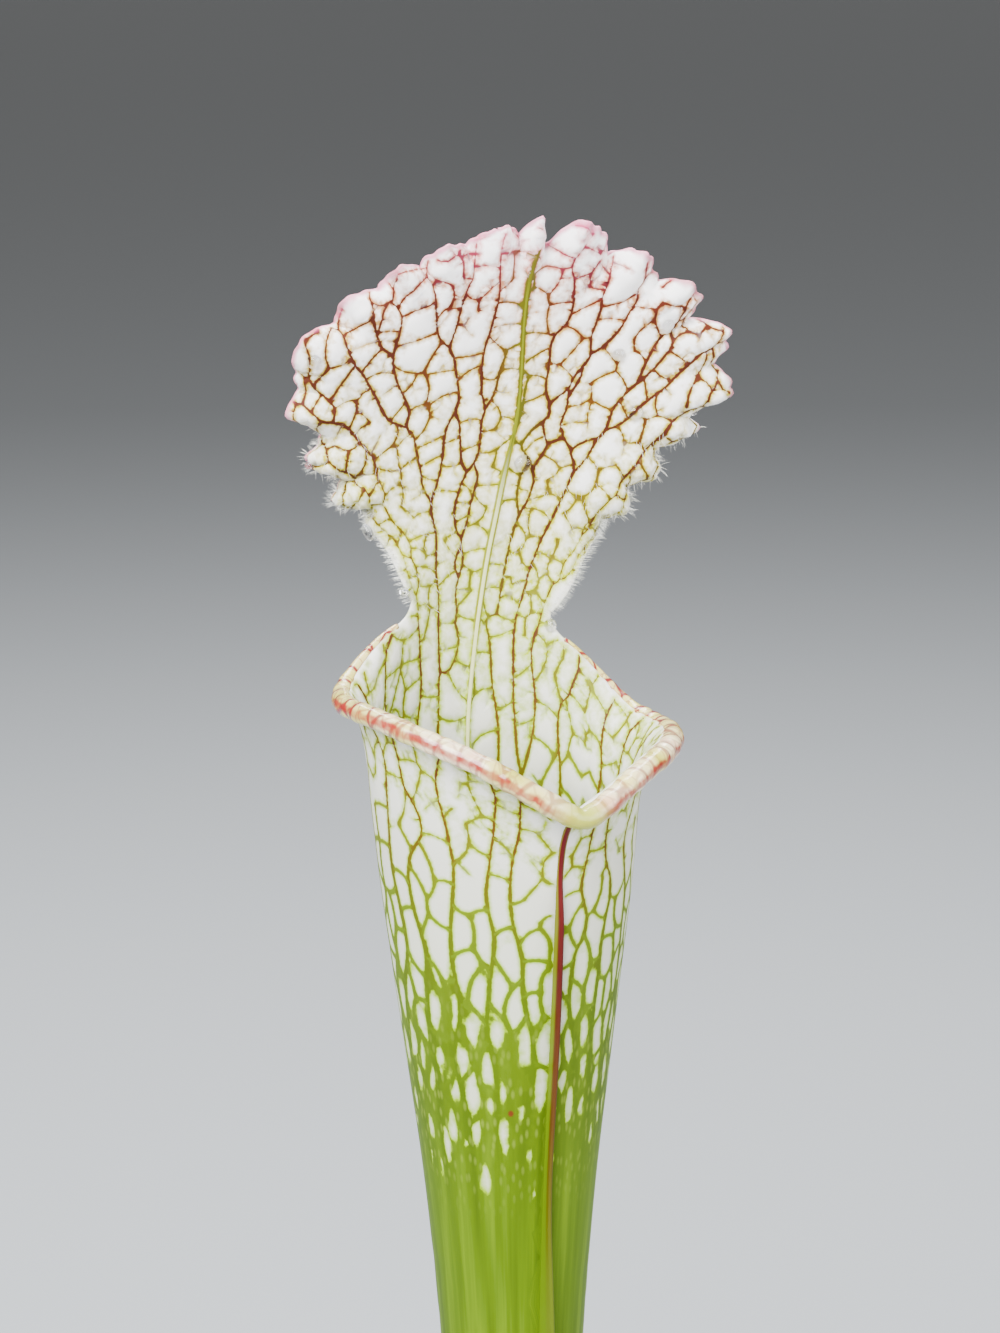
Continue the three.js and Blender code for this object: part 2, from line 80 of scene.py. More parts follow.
# The leaf stands on its own axes: x across, y to the back, z up from the middle of its mouth.
MOUTH_Y = 8.2
MOUTH_Z = 331
LEAF_THICKNESS = 0.8
FOOT_LEVEL = -256
HOLLOW_FLOOR = -232
LEAF_TWIST = math.radians(-6.5)
LEAN_FORWARD = 8.8
LEAN_LENGTH = 110
SIDE_LEAN = 0.15
LEAN_FROM = -14
LEAN_TO = 10
MOUTH_SLANT = 0.16
# Height against the tube's half width
TUBE_WIDTH = (
    (-260, 3.5), (-215, 4.2), (-165, 5.7), (-120, 7.8), (-89, 9.5),
    (-65, 11.4), (-42, 14.1), (-20, 16.7), (-5, 17.7), (10, 17.9), (40, 18.4),
)
# Height against the wing's depth
WING_DEPTH = (
    (-252, 0.8), (-215, 2.6), (-165, 4.2), (-110, 3.2), (-60, 1.9), (-20, 1.5), (-11, 0.2), (0, 0),
)
LIP_CORNER_ANGLE = 34.5
LIP_CORNER = 8.2
LIP_SHOULDER_DROP = 7.6
LIP_SIDE_RISE = 1.2
LIP_FRONT_DIP = 6.9
LIP_FLARE = 3.3
LIP_FLARE_LENGTH = 3.6
LIP_SPOUT = 2.9
LIP_RADIUS = 1.75
# Angle from the top in degrees, the flat blade's radius, and how wide and how far its edge curls back
HOOD_MARGIN = (
    (0, 27, 6, 0.3), (28, 26.6, 6, 0.3), (46, 28, 6.5, 0.4), (60, 30.2, 7, 0.55),
    (72, 31.9, 7.5, 0.7), (83, 31.3, 8, 1), (96, 28.3, 8, 1.4), (108, 27.2, 8, 1.7),
    (125, 25.2, 7.5, 1.7), (143, 24.4, 7, 1.0), (157, 27.6, 6, 0.3), (180, 34, 6, 0.2),
)
HOOD_HOLLOW = ((0, 17.9), (12, 19), (36, 80), (66, 120))
NOTCHES = np.array((
    -158, -143, -128, -112, -95, -80, -63, -50, -38, -24, -8, 0,
    22, 40, 58, 74, 88, 100, 115, 130, 144, 158,
), float)
HOOD_PIVOT = 37
SPINE_SLOPE = 0.08
SPINE_BEND = 0.0044
FRILL = 1.2
FRILL_REACH = 4.5
LOBE = 1.3
CRINKLE = 0.16
APEX_NOTCH = 2
HOOD_SKEW = 0.03
NECK_BLEND = 17
# Middle of the hollow curve where the neck's edge meets the rim, on the flat sheet
NECK_CURVE = (13.5, 11.3)
MIDRIB_HEIGHT = 0.55
# How much thinner each face of the hood lies at its margin
MARGIN_THINNING = 0.16


def smooth(low, high, x):
    """Runs from 0 at low to 1 at high, with soft ends"""
    t = np.clip((x - low) / (high - low), 0, 1)
    return t * t * (3 - 2 * t)


def through(table, x, column=1):
    """A smooth curve through the rows of a table, read at x"""
    rows = np.array(table, float)
    knots, values = rows[:, 0], rows[:, column]
    ahead = np.minimum(np.arange(len(knots)) + 1, len(knots) - 1)
    behind = np.maximum(np.arange(len(knots)) - 1, 0)
    slopes = (values[ahead] - values[behind]) / (knots[ahead] - knots[behind])
    x = np.clip(x, knots[0], knots[-1])
    i = np.clip(np.searchsorted(knots, x) - 1, 0, len(knots) - 2)
    span = knots[i + 1] - knots[i]
    t = (x - knots[i]) / span
    s = 1 - t
    return (
        values[i] * s * s * (1 + 2 * t)
        + values[i + 1] * t * t * (3 - 2 * t)
        + span * t * s * (slopes[i] * s - slopes[i + 1] * t)
    )


# The leaf's middle surface. The whole leaf is drawn on one flat sheet: across the sheet is the way round the
# tube or across the hood, and up the sheet is up the leaf, with the rim at the height of the lip's corners.
ROLL_RADIUS = float(through(TUBE_WIDTH, LIP_CORNER))
SEAM = math.pi * ROLL_RADIUS


def rim_height(angle):
    """The rim's height round the mouth: lower at its shoulders, lowest at the front's spout"""
    a = np.abs(np.degrees(angle))
    return (
        LIP_CORNER
        - LIP_SHOULDER_DROP * smooth(36, 76, a)
        + LIP_SIDE_RISE * smooth(80, 118, a)
        - LIP_FRONT_DIP * np.exp(-np.power(np.maximum(180 - a, 0) / 26, 1.25))
    )


def rim_flare(angle):
    """How far the rim flares out, most at the spout"""
    a = np.abs(np.degrees(angle))
    return LIP_FLARE * smooth(LIP_CORNER_ANGLE, 74, a) + LIP_SPOUT * np.exp(
        -np.power(np.maximum(180 - a, 0) / 20, 1.5)
    )


def lip_radius(angle):
    """The radius of the solid's rolled lip, which grows from the leaf's edge"""
    a = np.abs(np.degrees(angle))
    edge = LEAF_THICKNESS / 2
    return edge + (LIP_RADIUS - edge) * smooth(LIP_CORNER_ANGLE, 88, a)


def tube_axis_y(z):
    """How far back the tube's axis lies at a height"""
    return -LEAN_FORWARD * (1 - np.exp(np.minimum(z, 60) / LEAN_LENGTH))


def wall_point(angle, z, below):
    """A point of the tube's wall at height z, which lies below the rim by that much"""
    turned = angle + LEAF_TWIST * (angle / math.pi) ** 2
    radius = through(TUBE_WIDTH, z) + rim_flare(angle) * np.exp(-below / LIP_FLARE_LENGTH)
    return np.stack([radius * np.sin(turned), tube_axis_y(z) + radius * np.cos(turned), z], -1)


def tube_point(angle, level):
    """A point of the tube at a level, which follows the rim at the top and is flat below"""
    rim = rim_height(angle)
    z = level + rim * smooth(-38, 0, level)
    return wall_point(angle, z, rim - z)


def lobe_at(psi):
    """How far along its lobe the margin is at an angle, from 0 to 1"""
    i = np.clip(np.searchsorted(NOTCHES, psi) - 1, 0, len(NOTCHES) - 2)
    return np.clip((psi - NOTCHES[i]) / (NOTCHES[i + 1] - NOTCHES[i]), 0, 1)


def margin_radius(psi):
    """The flat hood's outline, with lobes, crinkles and a notch at its apex"""
    bump = np.power(np.maximum(np.sin(math.pi * lobe_at(psi)), 0), 0.75) - 0.6
    fade = 1 - smooth(116, 136, np.abs(psi))
    apex = APEX_NOTCH * np.exp(-(((psi - 1) / 2.6) ** 2))
    skew = 1 - HOOD_SKEW * np.sin(np.radians(psi)) * (1 - smooth(128, 150, np.abs(psi)))
    nicks = CRINKLE * (np.sin(psi * 0.83 + 2 * np.sin(psi * 0.17)) + 0.7 * np.sin(psi * 1.9 + 1.1)) * fade
    return through(HOOD_MARGIN, np.abs(psi)) * skew + LOBE * bump * fade * lobe_size(psi) + nicks - apex


def lobe_size(psi):
    """Some lobes stand out more than others"""
    return 1 + 0.55 * np.sin(psi * 0.071 + 0.7) * np.sin(psi * 0.033 + 2)


def frill_wave(psi):
    """How far the margin waves forwards and back in its frill, as a share"""
    fade = 1 - smooth(118, 140, np.abs(psi))
    fine = 0.3 * np.sin(psi * 0.71 + 1.5 * np.sin(psi * 0.13)) + 0.22 * np.sin(psi * 1.43 + 2)
    return (-np.cos(2 * math.pi * lobe_at(psi)) + 0.35 * np.sin(psi * 0.16 + 0.6) + fine) * fade


def spine_y(z):
    """How far back the middle of the hood lies at a height"""
    rise = z - LIP_CORNER
    neck = tube_axis_y(LIP_CORNER) + ROLL_RADIUS
    return neck + SPINE_SLOPE * rise - SPINE_BEND * rise**2


def hood_point(flat_x, flat_z):
    """A point of the flat fan, bent into place as in the part's source"""
    dx, dz = flat_x, flat_z - HOOD_PIVOT
    psi = np.degrees(np.arctan2(dx, dz))
    size = np.abs(psi)
    r = np.hypot(dx, dz)
    edge = margin_radius(psi)
    curl_width = through(HOOD_MARGIN, size, 2)
    curl_radius = curl_width / through(HOOD_MARGIN, size, 3)
    into = np.maximum(0, r - (edge - curl_width))
    turn = into / curl_radius
    frill = FRILL * frill_wave(psi) * np.exp(-np.power(np.maximum(0, edge - r) / FRILL_REACH, 1.5))
    bent = r - into + curl_radius * np.sin(turn) + frill * np.sin(turn)
    back = curl_radius * (1 - np.cos(turn)) - frill * np.cos(turn)
    safe = np.maximum(r, 1e-9)
    x = bent * dx / safe
    z = HOOD_PIVOT + bent * np.where(r > 1e-9, dz / safe, 1)
    fan = np.stack([x, spine_y(z) - x**2 / (2 * through(HOOD_HOLLOW, z)) + back, z], -1)
    angle = flat_x / ROLL_RADIUS
    wall = wall_point(angle, flat_z, 0)
    mix = smooth(LIP_CORNER, LIP_CORNER + NECK_BLEND, flat_z)[:, None]
    # Beside the neck the rim drops and flares, and what stands on it goes with it.
    moved = tube_point(angle, np.zeros_like(flat_x)) - wall_point(angle, np.full_like(flat_x, LIP_CORNER), 0)
    stays = 1 - smooth(LIP_CORNER, LIP_CORNER + 5, flat_z)[:, None]
    return wall + (fan - wall) * mix + moved * stays


def placed(p):
    """The head leans to its right, and everything moves to its place over the pot"""
    x, y, z = p[:, 0], p[:, 1], p[:, 2]
    bent = np.maximum(0, np.minimum(z, LEAN_TO) - LEAN_FROM)
    lift = bent**2 / (2 * (LEAN_TO - LEAN_FROM)) + np.maximum(0, z - LEAN_TO)
    slant = MOUTH_SLANT * (smooth(-40, 5, z) - 0.7 * smooth(8, 40, z))
    return np.stack([x + SIDE_LEAN * lift, y + MOUTH_Y, z - slant * x + MOUTH_Z], -1)


def fan_point(psi, radius):
    """Points of the flat hood by their angle from its top, in degrees, and their distance from its middle"""
    return np.stack([radius * np.sin(np.radians(psi)), HOOD_PIVOT + radius * np.cos(np.radians(psi))], -1)


def is_tube(flat):
    """True for points of the sheet's tube part"""
    return flat[:, 1] <= LIP_CORNER + 1e-6


def leaf_point(flat, tube=None):
    """Points of the middle surface for points of the flat sheet; tube says which take the tube's shape"""
    tube = is_tube(flat) if tube is None else tube
    wall = tube_point(flat[:, 0] / ROLL_RADIUS, flat[:, 1] - LIP_CORNER)
    return placed(np.where(tube[:, None], wall, hood_point(flat[:, 0], flat[:, 1])))


def unit(vectors):
    """Vectors of the same directions, each 1 long"""
    return vectors / np.maximum(np.linalg.norm(vectors, axis=-1, keepdims=True), 1e-12)


def leaf_frame(flat):
    """The middle surface with its ways across and up, and the normal towards the inside or the hood's face"""
    tube = is_tube(flat)
    step = 0.05
    across = unit(leaf_point(flat + (step, 0), tube) - leaf_point(flat - (step, 0), tube))
    up = unit(leaf_point(flat + (0, step), tube) - leaf_point(flat - (0, step), tube))
    return leaf_point(flat, tube), across, up, unit(np.cross(across, up))


def roll_scale(flat):
    """How much narrower the tube is than the flat sheet"""
    scale = through(TUBE_WIDTH, flat[:, 1] - LIP_CORNER) / ROLL_RADIUS
    return np.where(is_tube(flat), scale, 1)


def margin_distance(flat):
    """How far a point of the hood lies inside its margin; large on the tube"""
    dx, dz = flat[:, 0], flat[:, 1] - HOOD_PIVOT
    inside = margin_radius(np.degrees(np.arctan2(dx, dz))) - np.hypot(dx, dz)
    # The neck's foot widens to the rim in a hollow curve.
    x, y = NECK_CURVE
    curve = np.hypot(np.abs(flat[:, 0]) - x, flat[:, 1] - y) - (y - LIP_CORNER)
    inside = np.where((flat[:, 1] < y) & (np.abs(flat[:, 0]) < x), curve, inside)
    inside = np.where((flat[:, 1] < y) & (np.abs(flat[:, 0]) >= x), -1, inside)
    return np.where(is_tube(flat), 20, inside)


def midrib_x(y):
    """The midrib wanders to the right over the neck and back to the left at the top"""
    return 1.1 * smooth(6, 26, y) - 2.6 * smooth(34, 62, y) + 0.25 * np.sin(y * 0.2) * smooth(-60, 0, y)


# The leaf's veins

# Main veins of the hood's right half, from the neck or from a fork to the margin, on the flat sheet
HOOD_COURSES = (
    ((3.1, 8.2), (3.6, 16), (5.0, 28), (7.2, 40), (9.4, 51), (10.6, 62.5)),
    ((6.0, 8.2), (6.7, 15), (9.5, 26), (14, 37), (19.5, 47), (24, 57.5)),
    ((8.9, 8.2), (9.9, 14), (13.6, 23), (19, 31.5), (25.5, 39.5), (33, 46.5)),
    ((11.6, 18.6), (17, 25.5), (23, 31.5), (31, 35.5)),
    ((10.6, 15.8), (15, 20.5), (20, 23.6), (25.5, 24.6)),
    ((5.8, 32.6), (8.6, 40), (12.7, 50), (16.6, 61)),
    ((2.6, 12), (2.9, 26), (4.4, 42), (5.4, 52), (6.2, 64)),
    ((11.2, 30.5), (17.5, 38), (24, 46), (29.5, 53.5)),
    ((17, 42.3), (18.6, 48), (20.3, 59)),
    ((22.2, 35.5), (27, 38.8), (34, 41.5)),
    ((4.6, 21), (4.2, 30), (2.5, 38), (2.1, 44)),
    ((8.3, 21.8), (8.8, 30), (8.0, 38), (8.2, 45)),
    ((9.6, 9.5), (11.3, 14), (14.2, 19.5), (18.6, 25), (23.5, 28.2)),
)
# Where the tube's main veins meet the rim, on the flat sheet's right half; the neck's veins run on below it
RIM_COURSES = (14.6, 20.2, 25.6, 31.2, 36.4, 42.0, 47.4, 52.2)
# Up the sheet against the share of an areole's length that its width is
AREOLE_SHAPE = (
    (-110, 0.42), (-50, 0.42), (-32, 0.43), (-20, 0.5), (-8, 0.64), (2, 0.73), (12, 0.76), (24, 0.8), (38, 0.84),
    (70, 0.84),
)
# Up the sheet against the areoles' width
AREOLE_WIDTH = (
    (-110, 2.8), (-50, 2.8), (-34, 2.7), (-18, 2.9), (-5, 3.15), (5, 2.7), (12, 1.95), (22, 2.15), (34, 2.6),
    (50, 2.95), (60, 2.7), (70, 2.4),
)
# Up the sheet against how far the green flesh has grown over the windows
GREEN_GROWTH = ((-110, 1), (-60, 0.3), (-40, 0.14), (-24, 0.1), (-12, 0.06), (0, 0), (70, 0))
# Up the sheet against the half width that the windows in the green flesh keep at most
WINDOW_REACH = (
    (-110, -1), (-66, -0.5), (-56, 0.2), (-46, 0.62), (-40, 0.88), (-33, 1.15), (-26, 1.5), (-18, 2.1),
    (-10, 3.2), (70, 9),
)
# Single windows far down in the green, on the flat sheet
LONE_WINDOWS = ((-48.4, -44.5), (-45.0, -52.0), (-37.5, -47.5))
VEIN_FOOT = -66
MIDRIB_TOP = 61
SPUR_FOOT = -4
# The space between a vein's points, and between its edge and the loose points beside it
VEIN_STEP = 0.7
VEIN_HALO = 0.42
MIDRIB_WIDTH = ((-66, 0.2), (-20, 0.3), (8, 0.42), (26, 0.36), (40, 0.42), (54, 0.46), (61, 0.2))
COURSE_WIDTH = ((-80, 0.3), (-20, 0.27), (-4, 0.23), (10, 0.25), (30, 0.29), (46, 0.27), (56, 0.22), (64, 0.16))
LINK_WIDTH = ((-80, 0.26), (-22, 0.21), (-8, 0.18), (8, 0.165), (30, 0.17), (52, 0.175), (64, 0.13))
# Up the sheet against the space between the loose points of its mesh
POINT_GAP = ((-250, 3.6), (VEIN_FOOT - 8, 3.2), (-60, 1.5), (-52, 0.8), (-12, 0.8), (-4, 1.2), (60, 1.05))

# Steps of the outline's row along the foot
FOOT_STEPS = 36

SHAPE_HEIGHTS = np.linspace(-130, 90, 2201)
SHAPE_SUMS = np.cumsum(through(AREOLE_SHAPE, SHAPE_HEIGHTS)) * (SHAPE_HEIGHTS[1] - SHAPE_HEIGHTS[0])


def squeezed(flat):
    """The sheet with its heights squeezed, so that long areoles become round"""
    return np.stack([flat[:, 0], np.interp(flat[:, 1], SHAPE_HEIGHTS, SHAPE_SUMS)], -1)


def unsqueezed(flat):
    """The sheet with its heights as they were"""
    return np.stack([flat[:, 0], np.interp(flat[:, 1], SHAPE_SUMS, SHAPE_HEIGHTS)], -1)


def drawn(points, step=0.8):
    """A smooth line through points, with even steps"""
    rows = np.array(points, float)
    rows = np.vstack([2 * rows[0] - rows[1], rows, 2 * rows[-1] - rows[-2]])
    parts = []
    for a, b, c, d in zip(rows, rows[1:], rows[2:], rows[3:]):
        t = np.linspace(0, 1, 24, endpoint=False)[:, None]
        parts.append(
            0.5 * (2 * b + (c - a) * t + (2 * a - 5 * b + 4 * c - d) * t**2 + (3 * b - a - 3 * c + d) * t**3)
        )
    line = np.vstack([*parts, rows[-2:-1]])
    return evenly(line, step)


def lengths_along(line):
    """The length from a line's start to each of its points"""
    return np.concatenate([[0], np.cumsum(np.linalg.norm(np.diff(line, axis=0), axis=1))])


def evenly(line, step, parts=1):
    """The same line with points an even step apart, or with each step cut into parts. What the line keeps beside
    its points goes with them."""
    along = lengths_along(line[:, :2])
    at = np.linspace(0, along[-1], max(1, int(round(along[-1] / step))) * parts + 1)
    return np.stack([np.interp(at, along, column) for column in line.T], -1)


def main_courses(rng):
    """The lines of all main veins"""
    lines = []
    for hand in (1, -1):
        for points in HOOD_COURSES:
            line = drawn(points)
            sway = rng.uniform(0.25, 0.5) * smooth(10, 24, line[:, 1])
            phase = rng.uniform(0, 2 * math.pi)
            line[:, 0] += sway * np.sin(line[:, 1] * rng.uniform(0.25, 0.38) + phase)
            line[:, 0] *= hand
            lines.append(line)
        for x in (3.1, 6.0, 8.9, *RIM_COURSES):
            y = np.arange(LIP_CORNER + 1, VEIN_FOOT - 2, -0.8)
            phase = rng.uniform(0, 2 * math.pi)
            down = smooth(6, -12, y)
            wander = 0.9 * np.sin(y * rng.uniform(0.16, 0.24) + phase)
            spread = x * (1 + (0.28 if x < 10 else 0) * smooth(8, -60, y))
            lines.append(np.stack([hand * (spread + wander * down), y], -1))
    return lines


def sow_areoles(rng):
    """Areole centres, sown on the squeezed sheet wherever there is room"""
    rim_line = squeezed(np.array([[0, LIP_CORNER + 8]]))[0, 1]
    bounds = squeezed(np.array([[-SEAM, VEIN_FOOT - 10], [SEAM, 74]]))
    tries = rng.uniform(bounds[0], bounds[1], (26000, 2))
    stands = unsqueezed(tries)[:, 1]
    widths = through(AREOLE_WIDTH, stands) * rng.uniform(0.72, 1.02, len(tries))
    wanted = (np.abs(tries[:, 0]) < 42) | (tries[:, 1] < rim_line)
    wanted &= np.abs(tries[:, 0] - midrib_x(stands)) > 0.4 * widths
    # Places for centres, far off until they are filled
    centres = np.full((len(tries), 2), 1e6)
    count = 0
    for point, width in zip(tries[wanted], widths[wanted]):
        dx = np.abs(centres[: count + 1, 0] - point[0])
        if point[1] < rim_line:
            dx = np.minimum(dx, np.abs(2 * SEAM - dx))
        if np.hypot(dx, centres[: count + 1, 1] - point[1]).min() > width:
            centres[count] = point
            count += 1
    centres = centres[:count]
    near = (np.abs(centres[:, 0]) > SEAM - 14) & (centres[:, 1] < rim_line)
    ghosts = centres[near] - np.stack([np.sign(centres[near, 0]) * 2 * SEAM, np.zeros(near.sum())], -1)
    return np.vstack([centres, ghosts])


def areole_walls(centres):
    """The walls between areoles, as pairs of points on the squeezed sheet"""
    made = geometry.delaunay_2d_cdt([Vector(c) for c in centres], [], [], 0, 1e-7, False)
    points = np.array(made[0])
    corners = points[np.array(made[2])]
    a, b, c = corners[:, 0], corners[:, 1] - corners[:, 0], corners[:, 2] - corners[:, 0]
    d = 2 * (b[:, 0] * c[:, 1] - b[:, 1] * c[:, 0])
    d = np.where(np.abs(d) < 1e-9, 1e-9, d)
    bb, cc = (b**2).sum(1), (c**2).sum(1)
    middle = a + np.stack([(c[:, 1] * bb - b[:, 1] * cc) / d, (b[:, 0] * cc - c[:, 0] * bb) / d], -1)
    sides = {}
    for t, face in enumerate(made[2]):
        for i in range(3):
            sides.setdefault(tuple(sorted((face[i], face[i - 1]))), []).append(t)
    return middle, [pair for pair in sides.values() if len(pair) == 2]


def inside_leaf(flat, inset=0.3):
    """True for points of the veined part of the sheet"""
    on_tube = is_tube(flat)
    rim = np.where(np.abs(flat[:, 0]) < NECK_CURVE[0] - 1 - inset, LIP_CORNER + 1, LIP_CORNER - inset)
    tube = (np.abs(flat[:, 0]) < SEAM - 0.7) & (flat[:, 1] < rim) & (flat[:, 1] > VEIN_FOOT)
    return np.where(on_tube, tube, margin_distance(flat) > inset)


def nearest(points, place):
    """The number of the point nearest to a place"""
    return int(np.argmin(np.linalg.norm(points - place, axis=1)))


def course_through(points, ways, course, width):
    """The nodes of the areole walls that a main vein takes along its course"""
    start, end = nearest(points, course[0]), nearest(points, course[-1])
    pull = {}
    best, came = {start: 0.0}, {}
    queue = [(0.0, start)]
    while queue:
        cost, node = heapq.heappop(queue)
        if node == end:
            break
        if cost > best[node]:
            continue
        for other in ways[node]:
            if other not in pull:
                off = float(np.linalg.norm(course - points[other], axis=1).min())
                pull[other] = 1 + (off / width) ** 2
            there = cost + float(np.linalg.norm(points[other] - points[node])) * pull[other]
            if there < best.get(other, math.inf):
                best[other], came[other] = there, node
                heapq.heappush(queue, (there, other))
    nodes = [end]
    while nodes[-1] != start and nodes[-1] in came:
        nodes.append(came[nodes[-1]])
    return nodes[::-1]


def fresh_runs(nodes, taken):
    """The parts of a course whose walls no earlier course has taken"""
    runs, run = [], [nodes[0]]
    for a, b in zip(nodes, nodes[1:]):
        side = (min(a, b), max(a, b))
        if side in taken:
            if len(run) > 1:
                runs.append(run)
            run = [b]
        else:
            taken.add(side)
            run.append(b)
    if len(run) > 1:
        runs.append(run)
    return runs


def spur(rng, root, aim, length, half):
    """A free-ending veinlet, at times forked: a list of veins"""
    turn = rng.uniform(-0.5, 0.5)
    steps = np.linspace(0, 1, 4)[:, None]
    side = np.array([-aim[1], aim[0]])
    line = root + length * (aim * steps + side * turn * 0.4 * steps**2)
    made = [(line, np.linspace(half, half * 0.45, 4), 0.1)]
    if rng.random() < 0.4:
        for hand in (-1, 1):
            arm = unit(aim + side * hand * rng.uniform(0.5, 1.1))
            tip = line[-1] + arm * np.linspace(0, length * rng.uniform(0.3, 0.55), 3)[:, None]
            made.append((tip, np.array([0.6, 0.5, 0.35]) * half, 0.05))
    return made


def settled_courses(rng, middle, walls):
    """Leads the main veins along the areole walls. It gives all nodes on the sheet, those of the hood's main veins
    drawn towards their courses, the runs of nodes that main veins follow, and the walls they take."""
    flat = unsqueezed(middle)
    ways = {}
    for a, b in walls:
        ways.setdefault(a, []).append(b)
        ways.setdefault(b, []).append(a)
    taken, settled, runs = set(), set(), []
    loose = flat.copy()
    for course in main_courses(rng):
        tight = squeezed(course)
        height = course[:, 1].mean()
        width = float(through(AREOLE_WIDTH, height))
        on_hood = height > LIP_CORNER
        nodes = course_through(middle, ways, tight, width * (0.3 if on_hood else 0.6))
        for node in nodes if on_hood else ():
            near = course[nearest(tight, middle[node])]
            if node not in settled and np.linalg.norm(near - flat[node]) < width * 0.7:
                loose[node] = flat[node] * 0.3 + near * 0.7
            settled.add(node)
        for _ in range(2):
            loose[nodes[1:-1]] = loose[nodes[1:-1]] * 0.6 + (loose[nodes[:-2]] + loose[nodes[2:]]) * 0.2
        runs += fresh_runs(nodes, taken)
    return loose, runs, taken


def course_half(line):
    """A main vein's half width, slimmer where they crowd beside the neck and at the margin"""
    half = through(COURSE_WIDTH, line[:, 1]) * (1 + 0.12 * np.sin(np.arange(len(line)) * 0.55 + len(line)))
    crowded = smooth(8, 13, np.abs(line[:, 0])) * smooth(LIP_CORNER, 12, line[:, 1])
    crowded = crowded * (1 - smooth(24, 36, line[:, 1]))
    return half * (1 - 0.45 * crowded) * (0.6 + 0.4 * smooth(0, 7, margin_distance(line)))


def link_veins(rng, ends):
    """The finer vein along a wall, at times left out or broken off, and the spurs that stand on it"""
    way = ends[1] - ends[0]
    size = float(np.linalg.norm(way))
    if size < 0.3 or size > 30:
        return []
    height = ends[:, 1].mean()
    fate = rng.random() + (0.2 if height < -12 else 0)
    bow = rng.uniform(-0.13, 0.13)
    steps = np.linspace(0, 1, max(3, int(size / VEIN_STEP) + 2))[:, None]
    line = ends[0] + way * steps + np.array([-way[1], way[0]]) * bow * np.sin(math.pi * steps)
    # A wall is thicker where it meets others, and those that climb the leaf are thicker than those across.
    knots = 1 + 0.45 * np.exp(-np.minimum(steps, 1 - steps)[:, 0] * size / 0.45)
    climb = (abs(way[1]) / size) ** 2
    half = through(LINK_WIDTH, line[:, 1]) * rng.uniform(0.8, 1.15) * knots * (0.88 + 0.3 * climb)
    rank = 0.4 + 0.25 * climb
    if fate < 0.05:
        return []
    if fate < 0.2 and size > 1.2:
        keep = max(2, int(len(line) * rng.uniform(0.4, 0.7)))
        line, half, rank = line[:keep], half[:keep] * np.linspace(1, 0.45, keep), 0.3
    made = [(line, half, rank)]
    for _ in range(int(rng.integers(0, 3)) if size > 1.1 and height > SPUR_FOOT else 0):
        root = line[int(len(line) * rng.uniform(0.25, 0.75))]
        turn = rng.choice((-1, 1)) * rng.uniform(1.0, 2.1)
        cos, sin = math.cos(turn), math.sin(turn)
        aim = np.array([way[0] * cos - way[1] * sin, way[0] * sin + way[1] * cos]) / size
        length = float(through(AREOLE_WIDTH, root[1])) * rng.uniform(0.14, 0.42)
        made += spur(rng, root, aim, length, 0.135)
    return made


def course_spurs(rng, line):
    """The spurs that stand on a main vein"""
    made = []
    for i in range(3, len(line) - 3):
        if rng.random() < 0.2 and line[i, 1] > SPUR_FOOT:
            way = unit(line[i + 1] - line[i - 1])
            aim = unit(np.array([-way[1], way[0]]) * rng.choice((-1, 1)) + way * rng.uniform(-0.4, 0.8))
            length = float(through(AREOLE_WIDTH, line[i, 1])) * rng.uniform(0.14, 0.34)
            made += spur(rng, line[i], aim, length, 0.14)
    return made


def within_leaf(line, half, rank):
    """A vein's first stretch inside the leaf, as a list of one vein or none"""
    inside = inside_leaf(line)
    first = int(np.argmax(inside))
    end = first + int(np.argmin(np.append(inside[first:], False)))
    return [(line[first:end], half[first:end], rank)] if end > first + 1 else []


def vein_net(rng, centres):
    """All veins: (points on the sheet, half width at each, rank from 1 for main to 0 for the finest)"""
    middle, walls = areole_walls(centres)
    flat, runs, taken = settled_courses(rng, middle, walls)
    lines = [drawn(flat[run], VEIN_STEP) for run in runs]
    y = np.arange(VEIN_FOOT, MIDRIB_TOP, VEIN_STEP)
    veins = [(np.stack([midrib_x(y), y], -1), through(MIDRIB_WIDTH, y), 1.0)]
    veins += [(line, course_half(line), 1.0) for line in lines]
    by_midrib = np.abs(flat[:, 0] - midrib_x(flat[:, 1])) < 0.7
    for a, b in walls:
        if (min(a, b), max(a, b)) not in taken and not (by_midrib[a] and by_midrib[b]):
            veins += link_veins(rng, flat[[a, b]] if rng.random() < 0.5 else flat[[b, a]])
    for line in lines:
        veins += course_spurs(rng, line)
    return [part for vein in veins for part in within_leaf(*vein)]


def sampled(vein, step, parts):
    """A vein's points and half widths, with even steps, each cut into parts"""
    line, half, _ = vein
    made = evenly(np.column_stack([line, half]), step, parts)
    return made[:, :2], made[:, 2]


def tree_of(points):
    """A tree that finds the nearest of the points"""
    tree = kdtree.KDTree(len(points))
    for i, p in enumerate(points):
        tree.insert(p, i)
    tree.balance()
    return tree


class VeinMap:
    """Finds how far a point lies outside the nearest vein's edge, and that vein's rank"""

    def __init__(self, veins, step):
        cut = [(*sampled(vein, step, 3), vein[2]) for vein in veins]
        self.half = np.concatenate([half for _, half, _ in cut])
        self.rank = np.concatenate([np.full(len(half), rank) for _, half, rank in cut])
        self.tree = tree_of(leaf_point(np.vstack([points for points, _, _ in cut])))

    def read(self, flat, count=8):
        """The gap and the rank at each point, from so many of the nearest points of veins"""
        gaps, ranks = np.zeros(len(flat)), np.zeros(len(flat))
        for i, p in enumerate(leaf_point(flat)):
            found = [(distance - self.half[which], which) for _, which, distance in self.tree.find_n(p, count)]
            gaps[i], which = min(found, key=lambda pair: pair[0])
            ranks[i] = self.rank[which]
        return gaps, ranks


